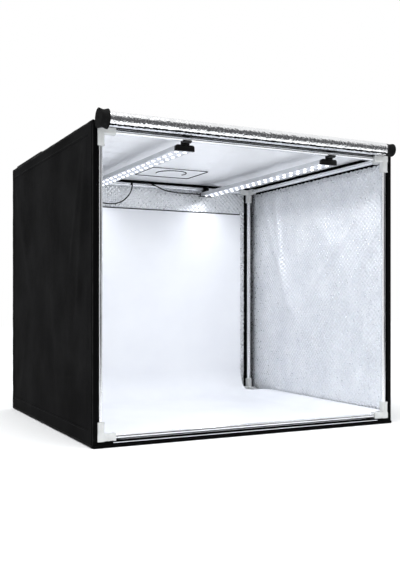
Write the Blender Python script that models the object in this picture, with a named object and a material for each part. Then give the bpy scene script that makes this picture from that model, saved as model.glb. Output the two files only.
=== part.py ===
"""Folding light tent cube: a tube frame with corner connectors inside a black cloth cover lined
with reflective film, a rolled-up front door, a hanging backdrop and two sliding lamp bars.

Metres, +Z up. X runs to the right, Y to the rear. The origin is the middle of the base, on the
surface that the tent stands on."""

import math

import bmesh
import bpy
from mathutils import Matrix, Vector

# Overall size of the cloth cover
WIDTH = 0.900
DEPTH = 0.800
HEIGHT = 0.780

# Gap between neighbouring surfaces, and how far a cutter runs past what it cuts
GAP = 0.0003
OVERRUN = 0.004

# Cloth: outer cover, lining film, padded base and seam tape
COVER_THICKNESS = 0.0012
LINING_THICKNESS = 0.0008
BASE_THICKNESS = 0.006
BASE_EDGE_RADIUS = 0.002
TAPE_THICKNESS = 0.001
TAPE_WIDTH = 0.020
BINDING_DEPTH = 0.010

# Soft folds of the walls. Each row is the fold's place along its top and bottom edge,
# its width and its weight, as shares of the wall
FOLD_DEPTH = 0.008
FOLD_MARGIN = 0.030
FOLD_COLUMNS = 8
FOLD_ROWS = 7
SIDE_FOLDS_SHARE = ((0.02, 0.46, 0.11, 0.55), (0.98, 0.62, 0.15, 0.35), (0.55, 0.30, 0.20, 0.30))
FOLD_SWELL_SHARE = 0.25

# Frame tubes, measured from the cover's faces to the tubes' centre lines
TUBE_RADIUS = 0.0065
TUBE_WALL = 0.001
TUBE_SEGMENTS = 16
FRAME_INSET = 0.020
FRONT_INSET = 0.0095
FRAME_RISE = 0.024

# Three-way corner connectors
SOCKET_WALL = 0.0022
SOCKET_EDGE_RADIUS = 0.003
SOCKET_REACH = 0.038
SOCKET_END_WALL = 0.001

# Rolled-up front door: its film, the axis of the roll ahead of and above the front top edge
DOOR_FILM_THICKNESS = 0.0008
DOOR_PITCH = 0.00135
DOOR_RADIUS = 0.0185
DOOR_CORE_RADIUS = 0.003
DOOR_FORWARD = 0.0262
DOOR_RISE = 0.002
ROLL_POINTS_PER_TURN = 18

# Rolled hook-and-loop strips at the door's two ends, drawn in at the waist
END_STRIP_THICKNESS = 0.0016
END_PITCH = 0.0029
END_RADIUS = {"left": 0.0255, "right": 0.0195}
END_LENGTH = {"left": 0.023, "right": 0.028}
END_INSET = {"left": 0.003, "right": 0.019}
END_WAIST_SHARE = 0.88

# White backdrop sheet, hung from a hook strip on the rear lining
BACKDROP_SIDE_MARGIN = 0.050
BACKDROP_THICKNESS = 0.0012
BACKDROP_TOP_MARGIN = 0.100
BACKDROP_SWEEP_RADIUS = 0.090
BACKDROP_ARC_STEPS = 12
BACKDROP_FRONT_CLEARANCE = 0.0035
BACKDROP_FLOOR_MARGIN = 0.009
BACKDROP_TAPER = 0.085
BACKDROP_FLOOR_STEPS = 5
BACKDROP_SLOPE_WIDTH = 0.069
BACKDROP_LIFT_START_DEGREES = 40
BACKDROP_COLUMN_SHARES = (0, 0.4, 0.78, 0.82, 0.86, 0.90, 0.93, 0.953, 1)
HOOK_STRIP_HEIGHT = 0.020
HOOK_STRIP_THICKNESS = 0.003

# Lens opening in the roof, the inner hatch under it and the outer flap over it
LENS_X = 0.020
LENS_Y = 0.185
LENS_RADIUS = 0.055
LENS_SEGMENTS = 32
HATCH_WIDTH = 0.200
HATCH_DEPTH = 0.165
HATCH_THICKNESS = 0.0018
ROOF_FLAP_RIGHT = 0.130
ROOF_FLAP_FRONT = 0.060
ROOF_FLAP_REAR = 0.340
ROOF_FLAP_THICKNESS = 0.0025
ROOF_FLAP_OUTSIDE = 0.0035
ROOF_FLAP_HEM_WIDTH = 0.016
ROOF_FLAP_HEM_HEIGHT = 0.005

# Lamp bars, running front to rear under the two top tubes
LAMP_X = {"left": -0.200, "right": 0.245}
LAMP_WIDTH = 0.050
LAMP_HEIGHT = 0.012
LAMP_WALL = 0.0016
LAMP_LIP = 0.0012
LAMP_DROP = 0.0265
LAMP_TUBE_CLEARANCE = 0.0015
LAMP_RIBS = 5
LAMP_RIB_DEPTH = 0.0007
BOARD_THICKNESS = 0.0016
LED_COLUMNS = 20
LED_ROWS = 2
LED_RADIUS = 0.0038
LED_HEIGHT = 0.0027
LED_TOP_SHARE = 0.55
LED_SIDES = 6
CAP_WALL = 0.0013
CAP_DEPTH = 0.009
CAP_SLEEVE = 0.005
CAP_CORNER_RADIUS = 0.006
BOSS_RADIUS = 0.0035
BOSS_LENGTH = 0.0035
BOSS_DROP = 0.0085

# Clips that hang the lamp bars on the tubes
CLIP_WALL = 0.003
CLIP_WIDTH = 0.023
CLIP_STEM = 0.005
CLIP_UNDER_DEGREES = 150
CLIP_OVER_DEGREES = 80
CLIP_SHOULDER_DEGREES = 30
CLIP_ARC_STEPS = 10

# Leads from the lamp bars to the grommet in the rear wall, and the inlet behind it
LEAD_DIAMETER = 0.004
LEAD_STEP = 0.008
GROMMET_X = -0.038
GROMMET_RISE = 0.009
GROMMET_SPACING = 0.012
GROMMET_BODY_RADIUS = 0.0045
GROMMET_FLANGE_RADIUS = 0.0060
GROMMET_FLANGE_THICKNESS = 0.0015
INLET_WIDTH = 0.036
INLET_HEIGHT = 0.016
INLET_DEPTH = 0.012
INLET_EDGE_RADIUS = 0.0015
INLET_SOCKET_RADIUS = 0.004
INLET_SOCKET_DEPTH = 0.008
INLET_PIN_RADIUS = 0.0012
INLET_PIN_LENGTH = 0.006

# Places that follow from the sizes above
SOCKET_HALF = TUBE_RADIUS + GAP + SOCKET_WALL
LINING_INSET = COVER_THICKNESS + GAP
LINING_FACE = LINING_INSET + LINING_THICKNESS
TAPE_FACE = LINING_FACE + GAP + TAPE_THICKNESS
FLOOR_TOP = BASE_THICKNESS + GAP + LINING_THICKNESS
WALL_FRONT = -DEPTH / 2 + BINDING_DEPTH + GAP
FRAME_X = WIDTH / 2 - FRAME_INSET
FRAME_FRONT = -DEPTH / 2 + FRONT_INSET
FRAME_REAR = DEPTH / 2 - FRAME_INSET
FRAME_TOP = HEIGHT - FRAME_INSET
LAMP_FACE = FRAME_TOP - LAMP_DROP
GROMMET_Z = FRAME_TOP + GROMMET_RISE


def make_material(name, colour, roughness, metallic=0.0):
    material = bpy.data.materials.new(name)
    material.use_nodes = True
    shader = material.node_tree.nodes["Principled BSDF"]
    shader.inputs["Base Color"].default_value = (*colour, 1.0)
    shader.inputs["Roughness"].default_value = roughness
    shader.inputs["Metallic"].default_value = metallic
    return material


def add_piece(name, bm, material, location=(0, 0, 0), parent=None):
    """Turns every face outward and puts the piece in the scene, smooth on its round faces."""
    bmesh.ops.recalc_face_normals(bm, faces=bm.faces)
    mesh = bpy.data.meshes.new(name)
    bm.to_mesh(mesh)
    bm.free()
    mesh.shade_smooth()
    mesh.set_sharp_from_angle(angle=math.radians(35))
    mesh.materials.append(material)
    piece = bpy.data.objects.new(name, mesh)
    piece.location = location
    piece.parent = parent
    bpy.context.scene.collection.objects.link(piece)
    return piece


def add_empty(name, location):
    empty = bpy.data.objects.new(name, None)
    empty.location = location
    bpy.context.scene.collection.objects.link(empty)
    return empty


def as_cutter(piece):
    piece.hide_render = True
    piece.display_type = "WIRE"
    return piece


def combine(piece, other, operation="DIFFERENCE"):
    modifier = piece.modifiers.new(other.name, "BOOLEAN")
    modifier.operation = operation
    modifier.solver = "EXACT"
    modifier.object = as_cutter(other)


def round_edges(piece, radius, segments=2):
    modifier = piece.modifiers.new("Rounded edges", "BEVEL")
    modifier.width = radius
    modifier.segments = segments


def slab(name, low, high, material, location=(0, 0, 0), parent=None):
    bm = bmesh.new()
    size = Vector(high) - Vector(low)
    middle = (Vector(high) + Vector(low)) / 2
    bmesh.ops.create_cube(bm, size=1, matrix=Matrix.Translation(middle) @ Matrix.Diagonal((*size, 1)))
    return add_piece(name, bm, material, location, parent)


def prism(name, outline, axis, start, end, material, location=(0, 0, 0), parent=None):
    """An outline in the two other axes, in X, Y, Z order, pushed along the axis from start to end."""
    bm = bmesh.new()
    rings = []
    for along in (start, end):
        ring = []
        for point in outline:
            place = list(point)
            place.insert("XYZ".index(axis), along)
            ring.append(bm.verts.new(place))
        rings.append(ring)
    bm.faces.new(rings[0])
    bm.faces.new(reversed(rings[1]))
    for i in range(len(outline)):
        j = (i + 1) % len(outline)
        bm.faces.new((rings[0][i], rings[0][j], rings[1][j], rings[1][i]))
    return add_piece(name, bm, material, location, parent)


def arc(centre, radius, start_degrees, end_degrees, steps):
    points = []
    for i in range(steps + 1):
        angle = math.radians(start_degrees + (end_degrees - start_degrees) * i / steps)
        points.append((centre[0] + radius * math.cos(angle), centre[1] + radius * math.sin(angle)))
    return points


def rounded_rectangle(centre, half_width, half_height, radius, steps=2):
    points = []
    corners = ((1, 1, 0), (-1, 1, 90), (-1, -1, 180), (1, -1, 270))
    for across, up, start in corners:
        corner = (
            centre[0] + across * (half_width - radius),
            centre[1] + up * (half_height - radius),
        )
        points += arc(corner, radius, start, start + 90, steps)
    return points


def slot_outline(centre, half_spacing, radius, steps=6):
    right = arc((centre[0] + half_spacing, centre[1]), radius, -90, 90, steps)
    left = arc((centre[0] - half_spacing, centre[1]), radius, 90, 270, steps)
    return right + left


def turned(name, profile, steps, material, location=(0, 0, 0), parent=None):
    """A closed profile of (radius, height) points spun about Z."""
    bm = bmesh.new()
    verts = [bm.verts.new((radius, 0, height)) for radius, height in profile]
    edges = [bm.edges.new((verts[i - 1], verts[i])) for i in range(len(verts))]
    bmesh.ops.spin(
        bm, geom=verts + edges, cent=(0, 0, 0), axis=(0, 0, 1), angle=math.tau, steps=steps, use_merge=True
    )
    return add_piece(name, bm, material, location, parent)


def ribbon(name, sections, material):
    """A sheet with thickness: each section is a row of (outer, inner) pairs of points, and the
    sheet runs from the first section to the last."""
    bm = bmesh.new()
    rows = [[(bm.verts.new(outer), bm.verts.new(inner)) for outer, inner in row] for row in sections]
    for first, second in zip(rows, rows[1:]):
        for i in range(len(first) - 1):
            for side in (0, 1):
                bm.faces.new((first[i][side], first[i + 1][side], second[i + 1][side], second[i][side]))
        for end in (0, -1):
            bm.faces.new((first[end][0], first[end][1], second[end][1], second[end][0]))
    for row in (rows[0], rows[-1]):
        for i in range(len(row) - 1):
            bm.faces.new((row[i][0], row[i + 1][0], row[i + 1][1], row[i][1]))
    return add_piece(name, bm, material)


def sheet_pairs(path, thickness):
    """The two faces of a sheet whose middle follows a path of flat points."""
    pairs = []
    for i, point in enumerate(path):
        before = Vector(path[max(i - 1, 0)])
        after = Vector(path[min(i + 1, len(path) - 1)])
        along = (after - before).normalized()
        across = Vector((-along[1], along[0])) * (thickness / 2)
        pairs.append((Vector(point) + across, Vector(point) - across))
    return pairs


def fold_profile(along, up):
    """How deep the wall is drawn in, from 0 to 1, at shares of its length and height."""
    window = math.sin(math.pi * along) * math.sin(math.pi * up)
    depth = FOLD_SWELL_SHARE
    for top, bottom, breadth, weight in SIDE_FOLDS_SHARE:
        distance = (along - bottom - (top - bottom) * up) / breadth
        depth += weight * math.exp(-distance * distance)
    return window * depth


def grid_lines(low, high, count):
    return [low + (high - low) * i / count for i in range(count + 1)]


def folded_wall(name, side, along, up, thickness, inset, material):
    """A side wall of cloth with its soft folds drawn inwards. The cover and the lining share the
    lines of their folds, so that they stay the same distance apart."""
    fold_y = grid_lines(WALL_FRONT + FOLD_MARGIN, DEPTH / 2 - FOLD_MARGIN, FOLD_COLUMNS)
    fold_z = grid_lines(BASE_THICKNESS + FOLD_MARGIN, HEIGHT - FOLD_MARGIN, FOLD_ROWS)
    ys = [along[0], *fold_y, along[1]]
    zs = [up[0], *fold_z, up[1]]
    bm = bmesh.new()
    layers = []
    for extra in (0, thickness):
        layer = []
        for i, y in enumerate(ys):
            column = []
            for j, z in enumerate(zs):
                depth = inset + extra
                if 0 < i < len(ys) - 1 and 0 < j < len(zs) - 1:
                    depth += FOLD_DEPTH * fold_profile((i - 1) / FOLD_COLUMNS, (j - 1) / FOLD_ROWS)
                column.append(bm.verts.new((side * (WIDTH / 2 - depth), y, z)))
            layer.append(column)
        layers.append(layer)
    for layer in layers:
        for i in range(len(ys) - 1):
            for j in range(len(zs) - 1):
                bm.faces.new((layer[i][j], layer[i + 1][j], layer[i + 1][j + 1]))
                bm.faces.new((layer[i][j], layer[i + 1][j + 1], layer[i][j + 1]))
    outside, inside = layers
    rim = rim_of(len(ys), len(zs))
    for k in range(len(rim)):
        (i, j), (m, n) = rim[k - 1], rim[k]
        bm.faces.new((outside[i][j], outside[m][n], inside[m][n], inside[i][j]))
    return add_piece(name, bm, material)


def rim_of(columns, rows):
    """The places round the edge of a grid, in order."""
    rim = [(i, 0) for i in range(columns)]
    rim += [(columns - 1, j) for j in range(1, rows)]
    rim += [(i, rows - 1) for i in range(columns - 2, -1, -1)]
    rim += [(0, j) for j in range(rows - 2, 0, -1)]
    return rim


def make_cover(cover, film):
    """The outer cloth, and the lining film behind it. The roof and the base close the walls' ends."""
    rear_inside = DEPTH / 2 - LINING_INSET
    cover_up = (BASE_THICKNESS + GAP, HEIGHT - COVER_THICKNESS - GAP)
    film_up = (FLOOR_TOP + GAP, HEIGHT - LINING_FACE - GAP)
    for name, side in (("left", -1), ("right", 1)):
        folded_wall(f"cover_{name}", side, (WALL_FRONT, DEPTH / 2), cover_up, COVER_THICKNESS, 0, cover)
        folded_wall(f"lining_{name}", side, (WALL_FRONT, rear_inside), film_up, LINING_THICKNESS,
                    LINING_INSET, film)
    cover_reach = WIDTH / 2 - COVER_THICKNESS - GAP
    film_reach = WIDTH / 2 - LINING_FACE - GAP
    slab("cover_rear", (-cover_reach, DEPTH / 2 - COVER_THICKNESS, cover_up[0]),
         (cover_reach, DEPTH / 2, cover_up[1]), cover)
    slab("lining_rear", (-film_reach, DEPTH / 2 - LINING_FACE, film_up[0]),
         (film_reach, rear_inside, film_up[1]), film)

    base = slab("cover_base", (-WIDTH / 2, -DEPTH / 2, 0), (WIDTH / 2, DEPTH / 2, BASE_THICKNESS), cover)
    round_edges(base, BASE_EDGE_RADIUS)
    reach = WIDTH / 2 - LINING_INSET
    slab("lining_floor", (-reach, WALL_FRONT, BASE_THICKNESS + GAP), (reach, rear_inside, FLOOR_TOP), film)
    roof = slab("cover_roof", (-WIDTH / 2, WALL_FRONT, HEIGHT - COVER_THICKNESS),
                (WIDTH / 2, DEPTH / 2, HEIGHT), cover)
    ceiling = slab("lining_roof", (-reach, WALL_FRONT, HEIGHT - LINING_FACE),
                   (reach, rear_inside, HEIGHT - LINING_INSET), film)
    circle = arc((LENS_X, LENS_Y), LENS_RADIUS, 0, 360, LENS_SEGMENTS)[:-1]
    lens = prism("lens_cutter", circle, "Z", HEIGHT - LINING_FACE - OVERRUN, HEIGHT + OVERRUN, film)
    combine(roof, lens)
    combine(ceiling, lens)


def make_seam_tapes(tape):
    """Binding tape over the inner edges where two linings are sewn together."""
    x = WIDTH / 2 - LINING_FACE - GAP
    y = DEPTH / 2 - LINING_FACE - GAP
    top = HEIGHT - LINING_FACE - GAP
    bottom = FLOOR_TOP + GAP

    def angle(corner, across, up):
        """An L along two faces, from its corner towards across and up."""
        wide, thick = TAPE_WIDTH, TAPE_THICKNESS
        shape = ((0, 0), (wide, 0), (wide, thick), (thick, thick), (thick, wide), (0, wide))
        return [(corner[0] + across * a, corner[1] + up * b) for a, b in shape]

    for kind, side in (("left", -1), ("right", 1)):
        prism(f"seam_tape_top_{kind}", angle((side * x, top), -side, -1), "Y", WALL_FRONT,
              y - TAPE_WIDTH - GAP, tape)
        prism(f"seam_tape_rear_{kind}", angle((side * x, y), -side, -1), "Z", bottom,
              top - TAPE_WIDTH - GAP, tape)
    return prism("seam_tape_top_rear", angle((y, top), -1, -1), "X", -x, x, tape)


def make_binding(binding):
    """The folded webbing round the front opening, let in at its corners for the connectors."""
    side = FRAME_INSET - TUBE_RADIUS - GAP
    side_corner = FRAME_INSET - SOCKET_HALF - GAP
    sill = FRAME_RISE - TUBE_RADIUS - GAP
    sill_corner = FRAME_RISE - SOCKET_HALF - GAP
    reach = SOCKET_REACH + GAP
    x = WIDTH / 2 - side
    x_corner = WIDTH / 2 - side_corner
    x_reach = FRAME_X - reach
    top = HEIGHT - side
    top_corner = HEIGHT - side_corner
    low_reach = FRAME_RISE + reach
    high_reach = FRAME_TOP - reach
    right = [
        (x_reach, sill), (x_reach, sill_corner), (x_corner, sill_corner), (x_corner, low_reach), (x, low_reach),
        (x, high_reach), (x_corner, high_reach), (x_corner, top_corner), (x_reach, top_corner), (x_reach, top),
    ]
    left = [(-across, up) for across, up in reversed(right)]
    ring = slab(
        "front_binding",
        (-WIDTH / 2, -DEPTH / 2, BASE_THICKNESS + GAP),
        (WIDTH / 2, WALL_FRONT - GAP, HEIGHT),
        binding,
    )
    opening = prism(
        "front_opening", right + left, "Y", -DEPTH / 2 - OVERRUN, WALL_FRONT + OVERRUN, binding
    )
    combine(ring, opening)


def make_tube(name, start, end, aluminium):
    """A hollow tube between two frame corners, its ends short of the sockets' floors."""
    start, end = Vector(start), Vector(end)
    along = (end - start).normalized()
    stop = SOCKET_HALF + SOCKET_END_WALL + GAP
    length = (end - start).length - 2 * stop
    inner = TUBE_RADIUS - TUBE_WALL
    profile = ((inner, 0), (TUBE_RADIUS, 0), (TUBE_RADIUS, length), (inner, length))
    tube = turned(name, profile, TUBE_SEGMENTS, aluminium, start + along * stop)
    tube.rotation_euler = along.to_track_quat("Z", "Y").to_euler()


def make_frame(aluminium, plastic):
    """Twelve tubes and the eight connectors that hold their ends."""
    side_x = {"left": -FRAME_X, "right": FRAME_X}
    end_y = {"front": FRAME_FRONT, "rear": FRAME_REAR}
    level_z = {"bottom": FRAME_RISE, "top": FRAME_TOP}
    for end, y in end_y.items():
        for side, x in side_x.items():
            make_tube(f"post_{end}_{side}", (x, y, FRAME_RISE), (x, y, FRAME_TOP), aluminium)
        for level, z in level_z.items():
            make_tube(f"{level}_tube_{end}", (-FRAME_X, y, z), (FRAME_X, y, z), aluminium)
    for side, x in side_x.items():
        for level, z in level_z.items():
            make_tube(f"{level}_tube_{side}", (x, FRAME_FRONT, z), (x, FRAME_REAR, z), aluminium)

    mesh = connector_mesh(plastic)
    for level, z in level_z.items():
        for end, y in end_y.items():
            for side, x in side_x.items():
                connector = bpy.data.objects.new(f"connector_{level}_{end}_{side}", mesh)
                signs = (-math.copysign(1, x), 1 if end == "front" else -1, 1 if level == "bottom" else -1)
                connector.matrix_world = Matrix.Translation((x, y, z)) @ arms_towards(*signs)
                bpy.context.scene.collection.objects.link(connector)


def arms_towards(x, y, z):
    """The turn that points the connector's three like arms along the three signed axes."""
    columns = [Vector((x, 0, 0)), Vector((0, y, 0)), Vector((0, 0, z))]
    if x * y * z < 0:
        columns[0], columns[1] = columns[1], columns[0]
    return Matrix(columns).transposed().to_4x4()


def connector_mesh(plastic):
    """Three square sockets with rounded edges that meet in one corner, each with a round bore."""
    outline = rounded_rectangle((0, 0), SOCKET_HALF, SOCKET_HALF, SOCKET_EDGE_RADIUS)
    bore = arc((0, 0), TUBE_RADIUS + GAP, 0, 360, TUBE_SEGMENTS)[:-1]
    body = prism("socket_x", outline, "X", -SOCKET_HALF, SOCKET_REACH, plastic)
    for axis in "YZ":
        combine(body, prism(f"socket_{axis}", outline, axis, -SOCKET_HALF, SOCKET_REACH, plastic), "UNION")
    for axis in "XYZ":
        combine(body, prism(f"bore_{axis}", bore, axis, SOCKET_HALF + SOCKET_END_WALL,
                            SOCKET_REACH + OVERRUN, plastic))
    bpy.context.view_layer.update()
    graph = bpy.context.evaluated_depsgraph_get()
    mesh = bpy.data.meshes.new_from_object(body.evaluated_get(graph))
    mesh.name = "connector"
    mesh.set_sharp_from_angle(angle=math.radians(35))
    helpers = [modifier.object for modifier in body.modifiers]
    for piece in (body, *helpers):
        bpy.data.objects.remove(piece)
    return mesh


def spiral(centre, outer_radius, pitch, start_degrees):
    """The middle line of a rolled sheet, from its outside inwards, clockwise in Y and Z."""
    turns = (outer_radius - DOOR_CORE_RADIUS) / pitch
    count = int(turns * ROLL_POINTS_PER_TURN)
    points = []
    for i in range(count + 1):
        angle = math.radians(start_degrees) - math.tau * i / ROLL_POINTS_PER_TURN
        radius = outer_radius - pitch * i / ROLL_POINTS_PER_TURN
        points.append((centre[0] + radius * math.cos(angle), centre[1] + radius * math.sin(angle)))
    return points


def least_self_gap(path, thickness):
    """The narrowest gap between one turn and the next, measured on the points."""
    least = math.inf
    for i, point in enumerate(path):
        for other in path[i + ROLL_POINTS_PER_TURN // 2:]:
            least = min(least, math.dist(point, other) - thickness)
    return least


def make_door(film, strip):
    """The front door, rolled up and stowed along the front top edge, still sewn to it."""
    centre = (-DEPTH / 2 - DOOR_FORWARD, HEIGHT + DOOR_RISE)
    middle = DOOR_RADIUS - DOOR_FILM_THICKNESS / 2
    sewn = (-DEPTH / 2 - GAP - DOOR_FILM_THICKNESS / 2, HEIGHT - DOOR_FILM_THICKNESS)
    away = (sewn[0] - centre[0], sewn[1] - centre[1])
    leaving = math.degrees(math.atan2(away[1], away[0]) - math.acos(middle / math.hypot(*away)))
    roll = spiral(centre, middle, DOOR_PITCH, leaving)
    path = [sewn, *roll]
    pairs = sheet_pairs(path, DOOR_FILM_THICKNESS)
    start = -WIDTH / 2 + END_INSET["left"] + END_LENGTH["left"] + GAP
    end = WIDTH / 2 - END_INSET["right"] - END_LENGTH["right"] - GAP
    ribbon("door_roll", [[((x, *a), (x, *b)) for a, b in pairs] for x in (start, end)], film)
    print(f"door roll: least gap to itself {least_self_gap(roll, DOOR_FILM_THICKNESS) * 1000:.2f} mm")

    for side, sign in (("left", -1), ("right", 1)):
        sections = []
        for share, draw in ((0, 1), (0.5, END_WAIST_SHARE), (1, 1)):
            x = sign * (WIDTH / 2 - END_INSET[side] - END_LENGTH[side] * share)
            outer = END_RADIUS[side] - END_STRIP_THICKNESS / 2
            winding = spiral((0, 0), outer, END_PITCH, 0)
            pairs = sheet_pairs([(y * draw, z * draw) for y, z in winding], END_STRIP_THICKNESS)
            sections.append([
                ((x, centre[0] + a[0], centre[1] + a[1]), (x, centre[0] + b[0], centre[1] + b[1]))
                for a, b in pairs
            ])
        ribbon(f"door_end_{side}", sections, strip)
        waist = [(y * END_WAIST_SHARE, z * END_WAIST_SHARE) for y, z in winding]
        print(f"door end {side}: least gap {least_self_gap(waist, END_STRIP_THICKNESS) * 1000:.2f} mm")


def smooth_share(value):
    """Eases a share from 0 to 1, level at both ends."""
    value = min(max(value, 0), 1)
    return value * value * (3 - 2 * value)


def thickened(grid, thickness):
    """The two faces of a sheet whose middle is a grid of points."""
    sections = []
    for i, row in enumerate(grid):
        pairs = []
        for j, point in enumerate(row):
            across = grid[min(i + 1, len(grid) - 1)][j] - grid[max(i - 1, 0)][j]
            along = row[min(j + 1, len(row) - 1)] - row[max(j - 1, 0)]
            normal = across.cross(along).normalized() * (thickness / 2)
            pairs.append((point + normal, point - normal))
        sections.append(pairs)
    return sections


def make_backdrop(sheet, strip):
    """The sheet hangs down from its hook strip and sweeps forward on to the floor. There it widens,
    and its edges lie on the lower side tubes and their connectors."""
    hanging = WIDTH / 2 - BACKDROP_SIDE_MARGIN
    lying = WIDTH / 2 - BACKDROP_FLOOR_MARGIN
    top = HEIGHT - BACKDROP_TOP_MARGIN
    rear = DEPTH / 2 - LINING_FACE - GAP
    middle = rear - HOOK_STRIP_THICKNESS - GAP - BACKDROP_THICKNESS / 2
    floor = FLOOR_TOP + GAP + BACKDROP_THICKNESS / 2
    front = FRAME_FRONT + TUBE_RADIUS + BACKDROP_FRONT_CLEARANCE
    radius = BACKDROP_SWEEP_RADIUS
    centre = (middle - radius, floor + radius)
    # Each point of the path is a place in Y and Z and the share of the edges' lift.
    path = [(middle, top, 0)]
    for i in range(BACKDROP_ARC_STEPS + 1):
        degrees = 90 * i / BACKDROP_ARC_STEPS
        turn = math.radians(degrees)
        lift = smooth_share((degrees - BACKDROP_LIFT_START_DEGREES) / (90 - BACKDROP_LIFT_START_DEGREES))
        path.append((centre[0] + radius * math.cos(turn), centre[1] - radius * math.sin(turn), lift))
    taper_end = centre[0] - BACKDROP_TAPER
    path += [(y, floor, 1) for y in grid_lines(centre[0], taper_end, BACKDROP_FLOOR_STEPS)[1:]]
    path += [(y, floor, 1) for y in grid_lines(taper_end, front, BACKDROP_FLOOR_STEPS)[1:]]
    slope_end = FRAME_X - SOCKET_HALF - GAP
    slope_start = slope_end - BACKDROP_SLOPE_WIDTH
    lifted = FRAME_RISE + SOCKET_HALF + GAP + BACKDROP_THICKNESS / 2
    shares = [-share for share in reversed(BACKDROP_COLUMN_SHARES[1:])] + list(BACKDROP_COLUMN_SHARES)
    grid = []
    for share in shares:
        row = []
        for y, z, lift in path:
            half = hanging + (lying - hanging) * smooth_share((centre[0] - y) / BACKDROP_TAPER)
            slope = smooth_share((abs(share) * half - slope_start) / BACKDROP_SLOPE_WIDTH)
            row.append(Vector((share * half, y, z + (lifted - floor) * slope * lift)))
        grid.append(row)
    ribbon("backdrop", thickened(grid, BACKDROP_THICKNESS), sheet)
    slab(
        "backdrop_hook_strip",
        (-hanging, rear - HOOK_STRIP_THICKNESS, top - HOOK_STRIP_HEIGHT),
        (hanging, rear, top),
        strip,
    )


def make_flaps(cover, film):
    """The inner hatch, hinged along its rear edge under the lens opening, and the outer flap,
    sewn along the roof's left edge and laid over the opening."""
    ceiling = HEIGHT - LINING_FACE - GAP
    slab(
        "ceiling_hatch",
        (-HATCH_WIDTH / 2, -HATCH_DEPTH, -HATCH_THICKNESS),
        (HATCH_WIDTH / 2, 0, 0),
        film,
        location=(LENS_X, LENS_Y + HATCH_DEPTH / 2, ceiling),
    )
    hinge_x = -WIDTH / 2 - ROOF_FLAP_OUTSIDE
    width = ROOF_FLAP_RIGHT - hinge_x
    flat = ROOF_FLAP_THICKNESS - ROOF_FLAP_HEM_HEIGHT
    outline = (
        (0, -ROOF_FLAP_HEM_HEIGHT), (width, -ROOF_FLAP_HEM_HEIGHT), (width, flat), (ROOF_FLAP_HEM_WIDTH, flat),
        (ROOF_FLAP_HEM_WIDTH + flat, 0), (-flat, 0), (0, flat),
    )
    length = ROOF_FLAP_REAR - ROOF_FLAP_FRONT
    hinge_z = HEIGHT + GAP + ROOF_FLAP_HEM_HEIGHT
    prism("roof_flap", outline, "Y", 0, length, cover, location=(hinge_x, ROOF_FLAP_FRONT, hinge_z))


def channel_outline():
    """The lamp's aluminium channel in X and Z: a ribbed back, two walls and two lips."""
    half = LAMP_WIDTH / 2
    inner = half - LAMP_WALL
    pitch = LAMP_WIDTH / (2 * LAMP_RIBS + 1)
    back = []
    for i in range(LAMP_RIBS):
        left = -half + pitch * (2 * i + 1)
        back += [(left, LAMP_HEIGHT), (left, LAMP_HEIGHT - LAMP_RIB_DEPTH)]
        back += [(left + pitch, LAMP_HEIGHT - LAMP_RIB_DEPTH), (left + pitch, LAMP_HEIGHT)]
    right = [
        (half, LAMP_HEIGHT), (half, 0), (inner - LAMP_LIP, 0), (inner - LAMP_LIP, LAMP_LIP), (inner, LAMP_LIP),
        (inner, LAMP_HEIGHT - LAMP_WALL),
    ]
    left = [(-x, z) for x, z in reversed(right)]
    return [*back, *right, *left]


def make_board(name, length, diodes, parent):
    """The circuit board with its rows of domed diodes, made as one skin of cells."""
    half_width = LAMP_WIDTH / 2 - LAMP_WALL - GAP
    bottom = LAMP_LIP + GAP
    cell_x = 2 * half_width / LED_ROWS
    cell_y = length / LED_COLUMNS
    bm = bmesh.new()

    def grid(height):
        return [[bm.verts.new((-half_width + cell_x * i, -length / 2 + cell_y * j, height))
                 for j in range(LED_COLUMNS + 1)] for i in range(LED_ROWS + 1)]

    lower = grid(bottom)
    for i in range(LED_ROWS):
        for j in range(LED_COLUMNS):
            middle_x = -half_width + cell_x * (i + 0.5)
            middle_y = -length / 2 + cell_y * (j + 0.5)
            corners = [lower[i][j], lower[i + 1][j], lower[i + 1][j + 1], lower[i][j + 1]]
            base = []
            top = []
            for k in range(LED_SIDES):
                angle = math.tau * (k + 0.5) / LED_SIDES - math.pi
                for ring, share, drop in ((base, 1, 0), (top, LED_TOP_SHARE, LED_HEIGHT)):
                    ring.append(bm.verts.new((
                        middle_x + LED_RADIUS * share * math.cos(angle),
                        middle_y + LED_RADIUS * share * math.sin(angle),
                        bottom - drop,
                    )))
            bm.faces.new(top)
            for k in range(LED_SIDES):
                bm.faces.new((base[k - 1], base[k], top[k], top[k - 1]))
            fill_round(bm, corners, base, (middle_x, middle_y))
    upper = grid(bottom + BOARD_THICKNESS)
    rim = rim_of(LED_ROWS + 1, LED_COLUMNS + 1)
    bm.faces.new([upper[i][j] for i, j in rim])
    for k in range(len(rim)):
        a, b = rim[k - 1], rim[k]
        bm.faces.new((lower[a[0]][a[1]], lower[b[0]][b[1]], upper[b[0]][b[1]], upper[a[0]][a[1]]))
    loose = [vert for vert in bm.verts if not vert.link_faces]
    bmesh.ops.delete(bm, geom=loose, context="VERTS")
    return add_piece(name, bm, diodes, parent=parent)


def fill_round(bm, corners, ring, middle):
    """Fills the cell between its four corners and the diode's ring, going round the two at once."""
    def turn(vert):
        return math.atan2(vert.co.y - middle[1], vert.co.x - middle[0]) % math.tau

    outer = sorted(corners, key=turn)
    inner = sorted(ring, key=turn)
    i = j = 0
    while i < len(outer) or j < len(inner):
        next_outer = turn(outer[i % len(outer)]) + math.tau * (i // len(outer))
        next_inner = turn(inner[j % len(inner)]) + math.tau * (j // len(inner))
        if j >= len(inner) or (i < len(outer) and next_outer < next_inner):
            bm.faces.new((outer[i - 1], outer[i], inner[j - 1 if j <= len(inner) else -1]))
            i += 1
        else:
            bm.faces.new((inner[j - 1], inner[j], outer[i - 1 if i <= len(outer) else -1]))
            j += 1


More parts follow.
